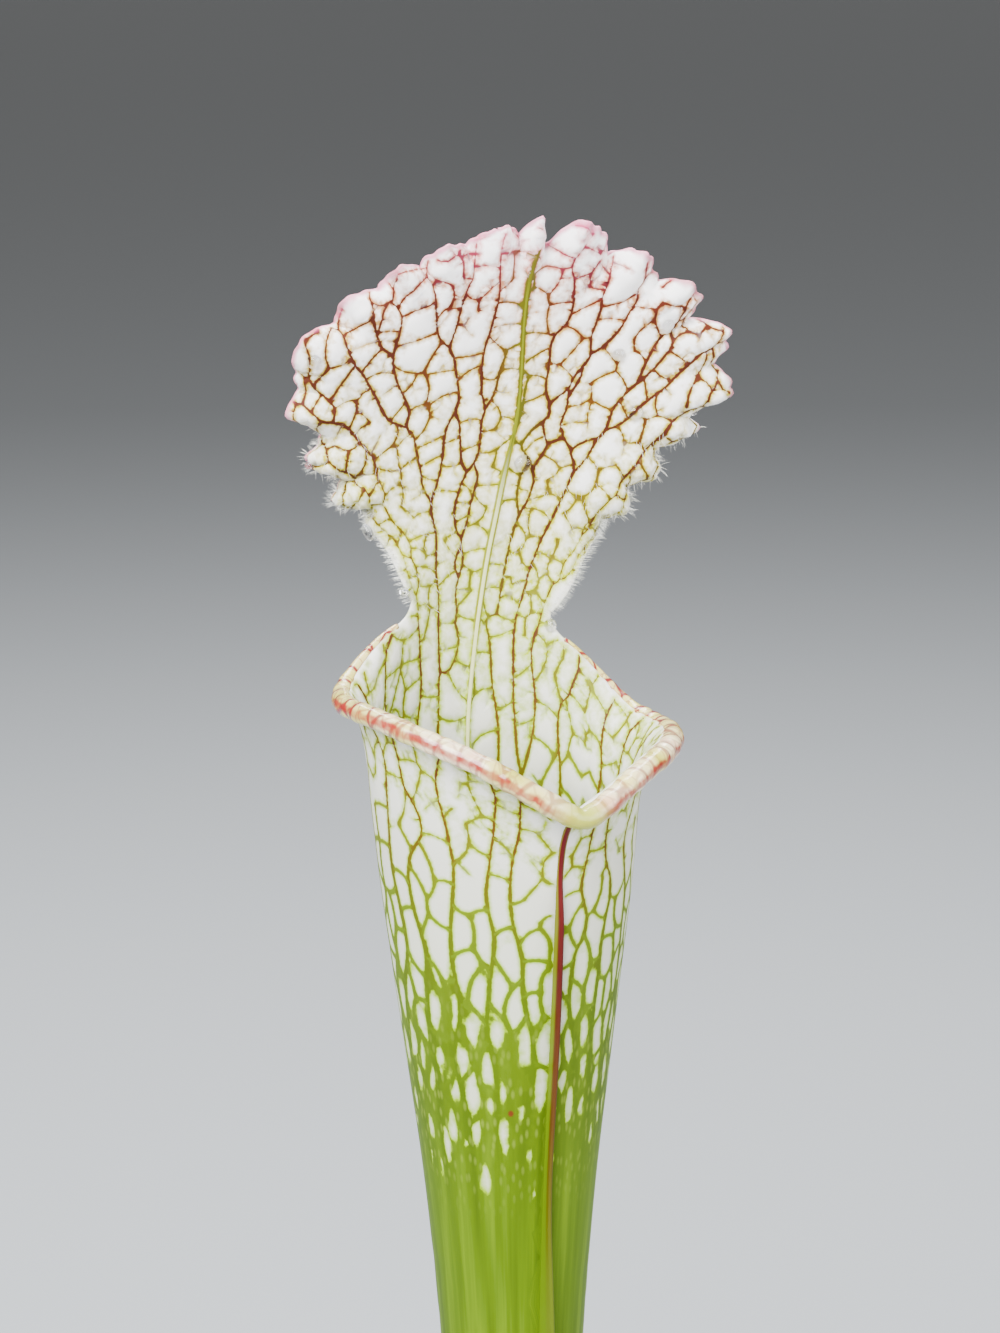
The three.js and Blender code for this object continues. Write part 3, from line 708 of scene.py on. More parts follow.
def leaf_outline():
    """The sheet's outline, from its foot up the right seam, round the hood and down the left seam"""
    bottom = LIP_CORNER + FOOT_LEVEL
    heights = np.concatenate([np.arange(bottom, VEIN_FOOT - 4, 4.0), np.arange(VEIN_FOOT - 4, LIP_CORNER - 0.5, 1.2)])
    heights = np.append(heights, LIP_CORNER)
    x, y = NECK_CURVE
    rim = np.linspace(SEAM, x, 64)[1:]
    psi = np.linspace(157, -157, 520)
    hood = fan_point(psi, margin_radius(psi))
    hood = hood[hood[:, 1] > y + 0.15]
    turn = np.radians(np.linspace(0, 90, 9)[1:])
    curve = np.stack([x - (y - LIP_CORNER) * np.sin(turn), y - (y - LIP_CORNER) * np.cos(turn)], -1)
    hood = np.vstack([curve, hood, curve[::-1] * (-1, 1)])
    right = np.stack([np.full(len(heights), SEAM), heights], -1)
    left = right[::-1] * (-1, 1)
    top = np.stack([rim, np.full(len(rim), LIP_CORNER)], -1)
    foot = np.stack([np.linspace(-SEAM, SEAM, FOOT_STEPS + 1)[1:-1], np.full(FOOT_STEPS - 1, bottom)], -1)
    return np.vstack([right, top, hood, top[::-1] * (-1, 1), left[1:], foot])


def fill_points(rng):
    """Loose points between the veins, closer where the leaf curls more"""
    rows = []
    y = LIP_CORNER + FOOT_LEVEL + 3.5
    while y < 68:
        gap = float(through(POINT_GAP, y))
        scale = max(0.5, float(through(TUBE_WIDTH, y - LIP_CORNER)) / ROLL_RADIUS) if y < LIP_CORNER else 1
        across = max(gap / scale, 0.4) if y > VEIN_FOOT - 4 else 3.4
        x = np.arange(-SEAM + across * 0.6, SEAM - across * 0.4, across) + rng.uniform(0, across * 0.3)
        jitter = 0.22 * gap
        row = np.stack([x, np.full(len(x), y)], -1) + rng.uniform(-jitter, jitter, (len(x), 2))
        rows.append(row)
        y += gap * 0.87
    flat = np.vstack(rows)
    tube = is_tube(flat)
    low = flat[:, 1] > LIP_CORNER + FOOT_LEVEL + 2
    inside = tube & (np.abs(flat[:, 0]) < SEAM - 0.7) & (flat[:, 1] < LIP_CORNER - 0.5) & low
    inside |= tube & (np.abs(flat[:, 0]) < NECK_CURVE[0] - 1.5)
    inside |= ~tube & (margin_distance(flat) > 0.45)
    return flat[inside & low]


def windowed(rng, flat, gaps, centres):
    """The gaps where the green flesh has grown over the veins and left an oval window in most areoles"""
    centres = np.vstack([centres, squeezed(np.array(LONE_WINDOWS))])
    stands = unsqueezed(centres)[:, 1]
    reach = through(WINDOW_REACH, stands)
    chance = 0.34 * smooth(-14, -34, stands) + 0.5 * smooth(-38, -50, stands)
    reach = reach * (1 + rng.uniform(-1.3, 0.6, len(centres)) * chance)
    reach = np.where(reach < 0.3, -1, reach)
    reach[-len(LONE_WINDOWS):] = 0.75
    # Two more ovals beside each centre give the windows their lobes.
    lobed = np.nonzero((reach > 0.3) & (stands < -6))[0]
    for _ in range(2):
        turn = rng.uniform(0, 2 * math.pi, len(lobed))
        shift = np.stack([np.cos(turn) * 0.5, np.sin(turn) * 0.8], -1) * reach[lobed, None]
        centres = np.vstack([centres, centres[lobed] + shift])
        reach = np.concatenate([reach, reach[lobed] * rng.uniform(0.55, 0.8, len(lobed))])
    tree = tree_of([(x, y, 0) for x, y in centres])
    side = 0.14 * np.exp(-(((np.abs(flat[:, 0]) - 26) / 10) ** 2)) * smooth(4, -12, flat[:, 1])
    gaps = gaps - through(GREEN_GROWTH, flat[:, 1]) - side
    for i in np.nonzero(flat[:, 1] < -8)[0]:
        x, y = squeezed(flat[i : i + 1])[0]
        best = max(-9.0, *(reach[which] - distance for _, which, distance in tree.find_n((x, y, 0), 7)))
        gaps[i] = best * 0.8 if stands_alone(flat[i]) else min(gaps[i], best * 0.8)
    return gaps


def stands_alone(point):
    """True near the lone windows, which no vein crosses"""
    return any(abs(point[0] - x) < 1.4 and abs(point[1] - y) < 3.4 for x, y in LONE_WINDOWS)


def leaf_sheet(rng):
    """The flat sheet cut into triangles that follow the veins: points, triangles, gap outside the flesh round
    the nearest vein, that vein's rank, and the gap outside the vein itself"""
    centres = sow_areoles(rng)
    veins = vein_net(rng, centres)
    vein_map = VeinMap(veins, VEIN_STEP)
    outline = leaf_outline()
    points = [outline]
    # The foot's row, the outline's last, stays free.
    edges = [(i, i + 1) for i in range(len(outline) - FOOT_STEPS)]
    count = len(outline)
    beside = []
    for vein in veins:
        line, half = sampled(vein, VEIN_STEP, 1)
        scale = roll_scale(line)[:, None]
        scale = np.hstack([scale, np.ones_like(scale)])
        way = unit(np.gradient(line, axis=0) * scale)
        aside = np.stack([-way[:, 1], way[:, 0]], -1) / scale
        points.append(line)
        edges += [(count + i, count + i + 1) for i in range(len(line) - 1)]
        count += len(line)
        for out in (0, VEIN_HALO):
            shift = aside * (half[:, None] + out)
            beside += [(line + shift, out), (line - shift, out)]
    offered = np.vstack([p for p, _ in beside])
    wanted = np.concatenate([np.full(len(p), out) for p, out in beside])
    inside = inside_leaf(offered, 0.2)
    offered, wanted = offered[inside], wanted[inside]
    gaps, _ = vein_map.read(offered)
    points.append(offered[gaps > wanted * 0.72 - 0.02])
    loose = fill_points(rng)
    gaps, _ = vein_map.read(loose, 4)
    points.append(loose[(gaps > VEIN_HALO + 0.3) | (loose[:, 1] < VEIN_FOOT - 3)])
    points = np.vstack(points)
    made = geometry.delaunay_2d_cdt([Vector(p) for p in points], edges, [], 0, 1e-4, False)
    flat, faces = np.array(made[0]), np.array(made[2])
    centre = flat[faces].mean(1)
    tube = (centre[:, 1] < LIP_CORNER) & (np.abs(centre[:, 0]) < SEAM)
    hood = (centre[:, 1] >= LIP_CORNER) & (margin_distance(centre) > 0)
    faces = faces[tube | hood]
    # The seam's two sides are the same line of the tube.
    right = {round(y, 3): i for i, (x, y) in enumerate(flat) if abs(x - SEAM) < 1e-3}
    home = np.arange(len(flat))
    for i, (x, y) in enumerate(flat):
        if abs(x + SEAM) < 1e-3 and round(y, 3) in right:
            home[i] = right[round(y, 3)]
    faces = home[faces]
    used, faces = np.unique(faces, return_inverse=True)
    flat, faces = flat[used], faces.reshape(-1, 3)
    gaps, ranks = vein_map.read(flat)
    gaps = np.where(flat[:, 1] < VEIN_FOOT - 2, 0, gaps)
    return flat, faces, windowed(rng, flat, gaps, centres), ranks, gaps


def outer_edges(faces):
    """The edges that only one triangle has, in its direction"""
    sides = np.concatenate([faces[:, [0, 1]], faces[:, [1, 2]], faces[:, [2, 0]]])
    key = np.sort(sides, 1)
    _, first, count = np.unique(key, axis=0, return_index=True, return_counts=True)
    return sides[first[count == 1]]


def leaf_shell(flat, faces, gaps, puff, ridge):
    """Both faces of the leaf and its edges: points, triangles, and the sheet's point behind each"""
    number = len(flat)
    edges = outer_edges(faces)
    # The tube is solid under its hollow, so the inner face is squeezed up to the hollow's floor.
    low = LIP_CORNER - 200
    inner = flat.copy()
    deep = inner[:, 1] < low
    squeeze = (low - (LIP_CORNER + HOLLOW_FLOOR)) / (low - (LIP_CORNER + FOOT_LEVEL))
    inner[deep, 1] = low + (inner[deep, 1] - low) * squeeze
    margin = margin_distance(flat)
    half = LEAF_THICKNESS / 2 - MARGIN_THINNING * (1 - smooth(0, 3, margin))
    quiet = smooth(0.1, 1.5, LIP_CORNER - flat[:, 1]) + smooth(0, 2.5, margin) * ~is_tube(flat)
    quiet = np.where(np.abs(flat[:, 0]) < NECK_CURVE[0] - 1, smooth(0, 2.5, margin), np.minimum(quiet, 1))
    swell = (1 - np.exp(-np.maximum(gaps, 0) / 0.5)) * quiet * smooth(VEIN_FOOT, VEIN_FOOT + 30, flat[:, 1])
    raised = np.exp(-np.maximum(gaps + 0.1, 0) / 0.25) * quiet
    middle, _, _, normal = leaf_frame(inner)
    rib_height = MIDRIB_HEIGHT * smooth(-62, -22, flat[:, 1]) * (1 - 0.55 * smooth(8, 62, flat[:, 1]))
    rib = rib_height * np.exp(-(((flat[:, 0] - midrib_x(flat[:, 1])) / 0.55) ** 2)) * (margin > 1)
    front = middle + normal * (half + puff * swell + rib)[:, None]
    middle, _, _, normal = leaf_frame(flat)
    back = middle - normal * (half + ridge * raised + 0.35 * puff * swell)[:, None]
    # The edge is rounded by one more row, a little proud of the sheet.
    way = unit(middle[edges[:, 1]] - middle[edges[:, 0]])
    starts = edges[:, 0]
    proud = unit(np.cross(way, normal[starts]))
    order = {int(v): k for k, v in enumerate(starts)}
    previous = {int(b): k for k, (a, b) in enumerate(edges)}
    blend = unit(proud + proud[[previous[int(v)] for v in starts]])
    on_hood = ~is_tube(flat[starts])
    middle_row = (front[starts] + back[starts]) / 2 + blend * (half[starts] * 0.8 * on_hood)[:, None]
    points = np.vstack([front, back, middle_row])
    quads = []
    for a, b in edges:
        ma, mb = 2 * number + order[int(a)], 2 * number + order[int(b)]
        quads += [(a, ma, mb), (a, mb, b), (ma, a + number, b + number), (ma, b + number, mb)]
    made = np.vstack([faces, faces[:, ::-1] + number, np.array(quads)])
    source = np.concatenate([np.arange(number), np.arange(number), starts])
    return points, made, source


# Making objects


def linear(code):
    """The linear colour of an sRGB hex code"""
    levels = [int(code[i : i + 2], 16) / 255 for i in (1, 3, 5)]
    return (*[v / 12.92 if v <= 0.04045 else ((v + 0.055) / 1.055) ** 2.4 for v in levels], 1)


def put(tree, kind, *values, stops=(), **named):
    """Adds one node, or sets up the one that is given as its kind. Values go to the inputs in order, where None
    leaves one as it is, and named ones to the input or setting of that name. A value is a number, a hex colour,
    a node, a socket or the name of a number that the mesh keeps at each point. A word after the kind is its
    operation or interpolation, and stops are a ramp's places and hex colours."""
    node = kind
    if isinstance(kind, str):
        kind, _, way = kind.partition(" ")
        node = tree.nodes.new("ShaderNode" + kind)
        if way:
            setattr(node, "interpolation_type" if kind == "MapRange" else "operation", way)
    for name, value in (*enumerate(values), *named.items()):
        if isinstance(name, str) and hasattr(node, name):
            setattr(node, name, value)
            continue
        socket = node.inputs[name.replace("_", " ") if isinstance(name, str) else name]
        if isinstance(value, str):
            value = linear(value) if value[0] == "#" else put(tree, "Attribute", attribute_name=value).outputs["Fac"]
        if isinstance(value, bpy.types.Node):
            value = value.outputs[0]
        if isinstance(value, bpy.types.NodeSocket):
            tree.links.new(value, socket)
        elif value is not None:
            socket.default_value = value
    if stops:
        ramp = node.color_ramp.elements
        while len(ramp) < len(stops):
            ramp.new(0.5)
        for element, (place, code) in zip(ramp, stops):
            element.position, element.color = place, linear(code)
    return node


def surface(name):
    """A new material, what adds a node to it, its Principled shader, and the place on the object"""
    made = bpy.data.materials.new(name)
    made.use_nodes = True
    add = partial(put, made.node_tree)
    return made, add, made.node_tree.nodes["Principled BSDF"], add("TexCoord").outputs["Object"]


def ring_faces(rings, sides, first=0, flipped=False):
    """The faces of a tube of point rings, with a cap at each end"""
    faces = []
    for a in range(first, first + (rings - 1) * sides, sides):
        for k in range(sides):
            b, c = a + k, a + (k + 1) % sides
            faces.append((b, b + sides, c + sides, c) if flipped else (b, c, c + sides, b + sides))
    last = first + (rings - 1) * sides
    caps = [tuple(range(first + sides - 1, first - 1, -1)), tuple(range(last, last + sides))]
    return faces + [cap[::-1] if flipped else cap for cap in caps]


def linked(name, data):
    """A new object in the scene"""
    made = bpy.data.objects.new(name, data)
    bpy.context.scene.collection.objects.link(made)
    return made


def piece(name, points, faces, material, slot, replaces=(), numbers=None):
    """One object from points in millimetres, riding on the plant; numbers are kept at each point by name"""
    mesh = bpy.data.meshes.new(name)
    faces = faces.tolist() if isinstance(faces, np.ndarray) else faces
    mesh.from_pydata((np.asarray(points) * MM).tolist(), [], faces)
    mesh.validate()
    mesh.shade_smooth()
    for key, values in (numbers or {}).items():
        mesh.attributes.new(key, "FLOAT", "POINT").data.foreach_set("value", np.asarray(values, np.float32))
    mesh.materials.append(material)
    made = linked(name, mesh)
    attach(made, "root")
    if replaces:
        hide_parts(*replaces)
    return made


# Materials


def leaf_skin(settings):
    """Living leaf tissue, grown: white windows without chlorophyll and green or red veins, with a waxy skin"""
    made, add, skin, place = surface("living_leaf_waxy_skin")
    up = add("MapRange", "stand", -100, 65)
    # Main veins are red-brown up to the margin; finer ones are olive at the neck and turn red near the top.
    main = add("ValToRGB", up, stops=(
        (0, "#425a00"), (0.44, "#465a00"), (0.53, "#4e5402"), (0.575, "#523c0a"), (0.62, "#4c2a10"),
        (0.76, "#44200e"), (0.93, "#441a10"), (0.99, "#7c1c36"),
    ))
    fine = add("ValToRGB", up, stops=(
        (0, "#465e00"), (0.5, "#546a00"), (0.58, "#626c02"), (0.66, "#6c7206"), (0.76, "#6a6208"),
        (0.84, "#5c380c"), (0.93, "#541c10"), (0.99, "#8c2c48"),
    ))
    vein = add("MixRGB", add("MapRange", "rank", 0.45, 0.9), fine, main)
    # Olive near the midrib, redder to the sides
    aside = add("Math ABSOLUTE", "off_midrib")
    vein = add("MixRGB", add("MapRange", aside, 4, 0.4, 0, 0.7), vein, "#565e06")
    sides = add("Math MULTIPLY", add("MapRange", aside, 12, 22, 0, 0.75), add("MapRange", "stand", 14, 26))
    vein = add("MixRGB", sides, vein, "#481e12")
    # The windows' white: the yellow-green tint low on the tube is the tissue's own colour, and the greying from the
    # hood down through the mouth is painted shade for the mouth's inside and the tube under the lip.
    white = add("ValToRGB", up, stops=(
        (0, "#b0b88e"), (0.4, "#b8bca6"), (0.56, "#bfc0b4"), (0.63, "#d0d0c8"), (0.7, "#e0dfd8"), (0.8, "#f0efec"),
        (1, "#fbf8fa"),
    ))
    glow = add("ValToRGB", up, stops=(
        (0, "#7c9c00"), (0.5, "#82a000"), (0.6, "#8ca200"), (0.68, "#98a602"), (0.78, "#a8a018"), (0.88, "#ac9438"),
        (0.95, "#b87c60"), (1, "#d88a9c"),
    ))
    # A vein has a dark core in yellow flesh with a ragged edge, which fades into the white.
    ragged = add("MapRange", add("TexNoise", place, Scale=1300, Detail=2), 0.3, 0.7, -0.5, 0.5)
    core = add("MapRange SMOOTHSTEP", add("Math MULTIPLY_ADD", ragged, 0.12, "gap"), -0.13, 0)
    wide = add("Math ADD", add("MapRange", "stand", 14, 50, 0.95, 0.55), add("MapRange", aside, 12, 3, 0, 0.2))
    wide = add("Math MULTIPLY", wide, add("MapRange", "stand", -8, 6, 0.45, 1))
    edge = add("Math MULTIPLY_ADD", ragged, add("MapRange", "stand", -14, 4, 0.1, 0.42), "gap")
    window = add("Math POWER", add("MapRange", edge, -0.02, wide), 0.7)
    # Streaks run along the tube's green flesh, one every 1.5 to 3 mm. Counting both ways round from the leaf's back
    # makes them meet at the seam under the wing, and a little of the place across it tells the two sides apart.
    around = add("Math ABSOLUTE", "round")
    along = add(
        "CombineXYZ", add("Math MULTIPLY", around, 0.45), add("Math MULTIPLY", "stand", 0.02),
        add("Math MULTIPLY", add("SeparateXYZ", place), 60),
    )
    streaks = add("ValToRGB", add("TexNoise", along, Scale=1, Detail=3), stops=(
        (0.3, "#3a5000"), (0.5, "#486200"), (0.7, "#5e7a00"),
    ))
    # The veins still show as deeper green in it, with pale flecks between them.
    buried = add("Math MULTIPLY", add("MapRange", "vein", 0.5, 0, 0, 0.6), add("MapRange", "stand", -54, -42))
    streaks = add("MixRGB", buried, streaks, "#344c00")
    flecks = add("CombineXYZ", around, add("Math MULTIPLY", "stand", 0.45))
    flecks = add("TexVoronoi", flecks, Scale=0.75, voronoi_dimensions="2D")
    flecks = add("Math MULTIPLY", add("MapRange", flecks, 0.28, 0.12, 0, 0.4), add("MapRange", "stand", -58, -40))
    streaks = add("MixRGB", flecks, streaks, "#9cb040")
    vein = add("MixRGB", add("MapRange", "stand", -20, -60), vein, streaks)
    colour = add("MixRGB", window, add("MixRGB", core, vein, glow), white)
    # Fine veins let the white through.
    faint = add("Math MULTIPLY", add("MapRange", "rank", 0, 0.4, 0.3, 0), add("MapRange", "stand", -40, -5))
    colour = add("MixRGB", faint, colour, white)
    # One brown speck low on the front
    speck = add("VectorMath DISTANCE", add("CombineXYZ", "round", "stand"), (-49.6, -41.4, 0)).outputs["Value"]
    colour = add("MixRGB", add("MapRange", speck, 0.6, 0.3), colour, "#5a2a0c")
    # The midrib is a pale ridge between two olive lines at the neck and a broad olive band above it.
    ridge = add("Math MULTIPLY", add("MapRange", aside, 0.34, 0.2), add("MapRange", "stand", 34, 24))
    ridge = add("Math MULTIPLY", ridge, add("MapRange", "stand", -30, -10))
    colour = add("MixRGB", ridge, colour, "#c2c68c")
    lines = add("Math COMPARE", aside, add("MapRange", "stand", 28, 40, 0.4, 0), 0.14)
    lines = add("Math MULTIPLY", lines, add("MapRange", "stand", 4, 10))
    lines = add("Math MULTIPLY", lines, add("MapRange", "stand", 60, 54, 0, 0.9))
    colour = add("MixRGB", lines, colour, "#70750c")
    # A pink rim, patchy along the margin
    patches = add("MapRange", add("TexNoise", place, Scale=160, Detail=2), 0.35, 0.7, 0.35, 1.7)
    rim = add("MapRange SMOOTHSTEP", "margin", patches, 0, 0, 0.8)
    rim = add("Math MULTIPLY", rim, add("MapRange", "stand", 19, 27))
    deep = add("MapRange", add("TexNoise", place, Scale=95, Detail=1), 0.5, 0.66)
    colour = add("MixRGB", rim, colour, add("MixRGB", deep, (*settings.margin_colour, 1), "#9c1844"))
    # Skin cells of about 0.2 mm give the wax a faint grain.
    cells = add("TexNoise", place, Scale=2500, Detail=2)
    add(
        skin, Base_Color=colour, Normal=add("Bump", Height=cells, Strength=0.12, Distance=0.0001), Roughness=0.52,
        IOR=1.42, Specular_IOR_Level=0.12, Subsurface_Weight=0.08, Subsurface_Radius=(0.0006, 0.0005, 0.0003),
        Subsurface_Scale=1,
    )
    return made


def lip_skin(settings):
    """The lip's thick waxed skin, grown smooth and wet with nectar: cream with crimson veins across the roll"""
    made, add, skin, _ = surface("lip_nectar_wax_skin")
    # Cross veins come every 2.7 mm along the roll, with veinlets between them.
    place = add("CombineXYZ", add("Math MULTIPLY", "along", 1 / 2.7), add("Math MULTIPLY", "turned", 1.7))
    bent = add("MixRGB", 0.12, place, add("TexNoise", place, Scale=1.6, Detail=2).outputs["Color"])
    nets = []
    for scale, far, near, most in ((1, 0.13, 0.03, 1), (2.1, 0.12, 0.02, 0.5)):
        cells = add("TexVoronoi", bent, Scale=scale, feature="DISTANCE_TO_EDGE", voronoi_dimensions="2D")
        nets.append(add("MapRange SMOOTHSTEP", cells, far, near, 0, most))
    ground = add("ValToRGB", add("TexNoise", place, Scale=0.45, Detail=2), stops=(
        (0.3, "#b2b040"), (0.42, "#d4c880"), (0.55, "#e2d4ae"), (0.7, "#dba890"),
    ))
    # The corners are yellower and more strongly veined than the front.
    ground = add("MixRGB", add("Math MULTIPLY", "corner", 0.6), ground, "#b4ac48")
    line = add("Math MULTIPLY", add("Math MAXIMUM", *nets), add("MapRange", "corner", 0, 1, 0.6, 1))
    colour = add("MixRGB", line, ground, (*settings.vein_colour, 1))
    # A crimson streak, broken and blurred, runs along the roll's outer underside.
    patches = add("TexNoise", add("CombineXYZ", "along", add("Math MULTIPLY", "turned", 7)), Scale=0.6, Detail=2)
    sway = add("Math MULTIPLY_ADD", patches, 0.16, add("Math SUBTRACT", "turned", 0.37))
    sway = add("Math ABSOLUTE", add("Math SUBTRACT", sway, 0.08))
    streak = add("MapRange SMOOTHSTEP", sway, 0.1, 0.03)
    streak = add("Math MULTIPLY", streak, add("MapRange", patches, 0.35, 0.62, 0.5, 0.95))
    colour = add("MixRGB", streak, colour, "#8a1e18")
    colour = add("MixRGB", add("Math MULTIPLY", add("MapRange", "front", 0, 1), 0.9), colour, "#9aa22e")
    add(
        skin, Base_Color=colour, Roughness=0.24, IOR=1.45, Coat_Weight=0.35, Coat_Roughness=0.12,
        Subsurface_Weight=0.2, Subsurface_Radius=(0.0014, 0.0009, 0.0006), Subsurface_Scale=1,
    )
    return made


def wing_skin():
    """The wing's thin double skin, grown: green flesh with a crimson line along its crest under the lip"""
    made, add, skin, place = surface("wing_leaf_skin")
    up = add("MapRange", "stand", -100, 10)
    crest = add("ValToRGB", up, stops=(
        (0, "#4a6400"), (0.3, "#4c5804"), (0.52, "#462c08"), (0.72, "#420c08"), (1, "#52080c"),
    ))
    flank = add("ValToRGB", up, stops=((0, "#465e00"), (0.5, "#4e6600"), (0.8, "#5c6008"), (1, "#6a5c1c")))
    colour = add("MixRGB", add("MapRange SMOOTHSTEP", "crest", 0.35, 0.7), flank, crest)
    grain = add("Bump", Height=add("TexNoise", place, Scale=1800), Strength=0.1, Distance=0.0001)
    add(skin, Base_Color=colour, Normal=grain, Roughness=0.5, IOR=1.42, Specular_IOR_Level=0.2)
    return made


def hair_wax():
    """Leaf hair: stiff, clear cell walls that catch the light white"""
    made, add, skin, place = surface("leaf_hair_cell_wall")
    colour = add("ValToRGB", add("TexNoise", place, Scale=300), stops=((0.3, "#e9ebdc"), (0.7, "#f6f6f2")))
    add(skin, Base_Color=colour, Roughness=0.35, Subsurface_Weight=0.3, Subsurface_Radius=(0.0005, 0.0005, 0.0005))
    return made


def dew_water():
    """Water held as drops by its own skin: clear, with a bright window of light"""
    made, add, skin, _ = surface("dew_water")
    add(skin, Base_Color="#ffffff", Roughness=0.02, IOR=1.333, Transmission_Weight=1)
    return made


def moulded_plastic(settings):
    """Polypropylene, injection moulded: charcoal with a satin skin, scuffed pale at the rim, band and foot"""
    made, add, skin, place = surface("moulded_polypropylene")
    height = add("SeparateXYZ", place).outputs["Z"]
    mottle = add("TexNoise", place, Scale=60, Detail=5, Roughness=0.6)
    scuff = add("MapRange", add("TexNoise", place, Scale=700, Detail=3), 0.5, 0.68)
    band = add("MapRange", add("Math COMPARE", height, 0.0765, 0.0012), 0, 1, 0, 0.6)
    low = add("Math MAXIMUM", band, add("MapRange", height, 0.004, 0))
    edges = add("Math MAXIMUM", add("MapRange", height, 0.0895, 0.0918), low)
    blotches = add("MapRange", mottle, 0.3, 0.7, 0, 0.5)
    colour = add("MixRGB", blotches, (*settings.colour, 1), "#45464a")
    colour = add("MixRGB", add("Math MULTIPLY", edges, scuff), colour, "#77787b")
    # A thin film of dried peat water clings in patches near the foot.
    film = add("Math MULTIPLY", add("MapRange", mottle, 0.5, 0.72), add("MapRange", height, 0.045, 0, 0, 0.5))
    colour = add("MixRGB", film, colour, "#6b625a")
    # Spark-eroded mould grain of about 0.3 mm
    grain = add("TexNoise", place, Scale=3000, Detail=2)
    add(
        skin, Base_Color=colour, Roughness=add("MapRange", mottle, 0.3, 0.7, 0.38, 0.52), IOR=1.49,
        Normal=add("Bump", Height=grain, Strength=0.25, Distance=0.0001),
    )
    return made


def peat_fibre(name, dark, light, scale):
    """Moss peat, dug and crumbled: dark, dull, fibrous"""
    made, add, skin, place = surface(name)
    clods = add("TexNoise", place, Scale=scale, Detail=6, Roughness=0.65)
    colour = add("ValToRGB", clods, stops=((0.3, dark), (0.62, light), (0.8, "#7a5a3c")))
    fibres = add("TexNoise", place, Scale=2200, Detail=3)
    add(skin, Base_Color=colour, Roughness=0.93, Normal=add("Bump", Height=fibres, Strength=0.7, Distance=0.0003))
    return made


def perlite_foam():
    """Perlite, volcanic glass puffed by heat: white, matt and pitted"""
    made, add, skin, place = surface("puffed_perlite")
    tone = add("TexNoise", place, Scale=500, Detail=3)
    colour = add("ValToRGB", tone, stops=((0.35, "#b9b2a4"), (0.6, "#e4e0d6")))
    pits = add("TexVoronoi", place, Scale=1600)
    add(skin, Base_Color=colour, Roughness=0.85, Normal=add("Bump", Height=pits, Strength=0.6, Distance=0.0002))
    return made


def rhizome_bark():
    """Rhizome skin, grown: brown, papery and ringed with the scars of old leaves"""
    made, add, skin, place = surface("rhizome_papery_bark")
    rings = add("TexWave", place, Scale=60, Distortion=3, Detail=2, bands_direction="X")
    tone = add("ValToRGB", rings, stops=((0, "#2c1a0f"), (0.5, "#4a3020"), (1, "#6b4c30")))
    blotch = add("MapRange", add("TexNoise", place, Scale=350, Detail=4), 0.45, 0.7)
    colour = add("MixRGB", blotch, tone, "#5a2c20")
    add(skin, Base_Color=colour, Roughness=0.7, Normal=add("Bump", Height=rings, Strength=0.5, Distance=0.0004))
    return made


def studio_paper(settings):
    """Studio paper, pressed flat: pale, dull, with a faint fibre"""
    made, add, skin, place = surface("studio_paper_floor")
    grain = add("MapRange", add("TexNoise", place, Scale=900, Detail=4), 0.3, 0.7, 0, 0.06)
    add(skin, Base_Color=add("MixRGB", grain, (*settings.floor_colour, 1), "#7c7f83"), Roughness=0.85)
    return made


# Pieces of the leaf


def build_leaf(settings):
    """The leaf's tube, neck and hood, both faces of one veined skin"""
    rng = np.random.default_rng(7)
    flat, faces, gaps, ranks, raw = leaf_sheet(rng)
    points, made, source = leaf_shell(flat, faces, gaps, settings.puff / MM, settings.ridge / MM)
    flat, gaps, ranks, raw = (rows[source] for rows in (flat, gaps, ranks, raw))
    numbers = {
        "stand": flat[:, 1],
        "gap": gaps,
        "rank": ranks,
        "vein": raw,
        "off_midrib": flat[:, 0] - midrib_x(flat[:, 1]),
        "margin": margin_distance(flat),
        "round": flat[:, 0],
    }
    return piece("leaf", points, made, leaf_skin(settings), "leaf", ("pitcher",), numbers)


def build_lip(settings):
    """The rolled lip, a tapering roll from the neck's right corner round the front to its left"""
    sections, turns = 420, 26
    corner = math.radians(LIP_CORNER_ANGLE + 7)
    mark = np.linspace(corner + 0.002, 2 * math.pi - corner - 0.002, sections)
    angle = np.where(mark > math.pi, mark - 2 * math.pi, mark)
    flat = np.stack([angle * ROLL_RADIUS, np.full(sections, LIP_CORNER)], -1)
    middle, _, up, normal = leaf_frame(flat)
    # The roll is slimmer than the solid's, more so at the left, and keeps its outer side.
    edge = LEAF_THICKNESS / 2
    radius = edge + (lip_radius(angle) - edge) * (0.8 + 0.08 * np.sin(angle))
    inset = (lip_radius(angle) - radius) * 0.8
    along = lengths_along(middle)
    # The roll swells and narrows a little between its cross veins.
    swell = 1 + settings.swell * (np.sin(along * 2.2 + np.sin(along * 0.7)) * 0.6 + np.sin(along * 0.9) * 0.4)
    thick = (radius * np.where(radius > 0.8, swell, 1))[:, None, None]
    turn = np.linspace(0, 2 * math.pi, turns, endpoint=False)
    centre = middle + normal * (edge - radius)[:, None] + up * inset[:, None]
    ring = (
        centre[:, None]
        + normal[:, None] * thick * np.cos(turn)[None, :, None]
        + up[:, None] * thick * np.sin(turn)[None, :, None]
    )
    from_front = np.abs(np.abs(np.degrees(angle)) - 180)
    numbers = {
        "along": np.repeat(along, turns),
        "turned": np.tile(turn / (2 * math.pi), sections),
        "front": np.repeat(np.exp(-((from_front / 6) ** 2)), turns),
        "corner": np.repeat(smooth(45, 80, from_front), turns),
    }
    faces = ring_faces(sections, turns, flipped=True)
    return piece("lip", ring.reshape(-1, 3), faces, lip_skin(settings), "leaf", (), numbers)


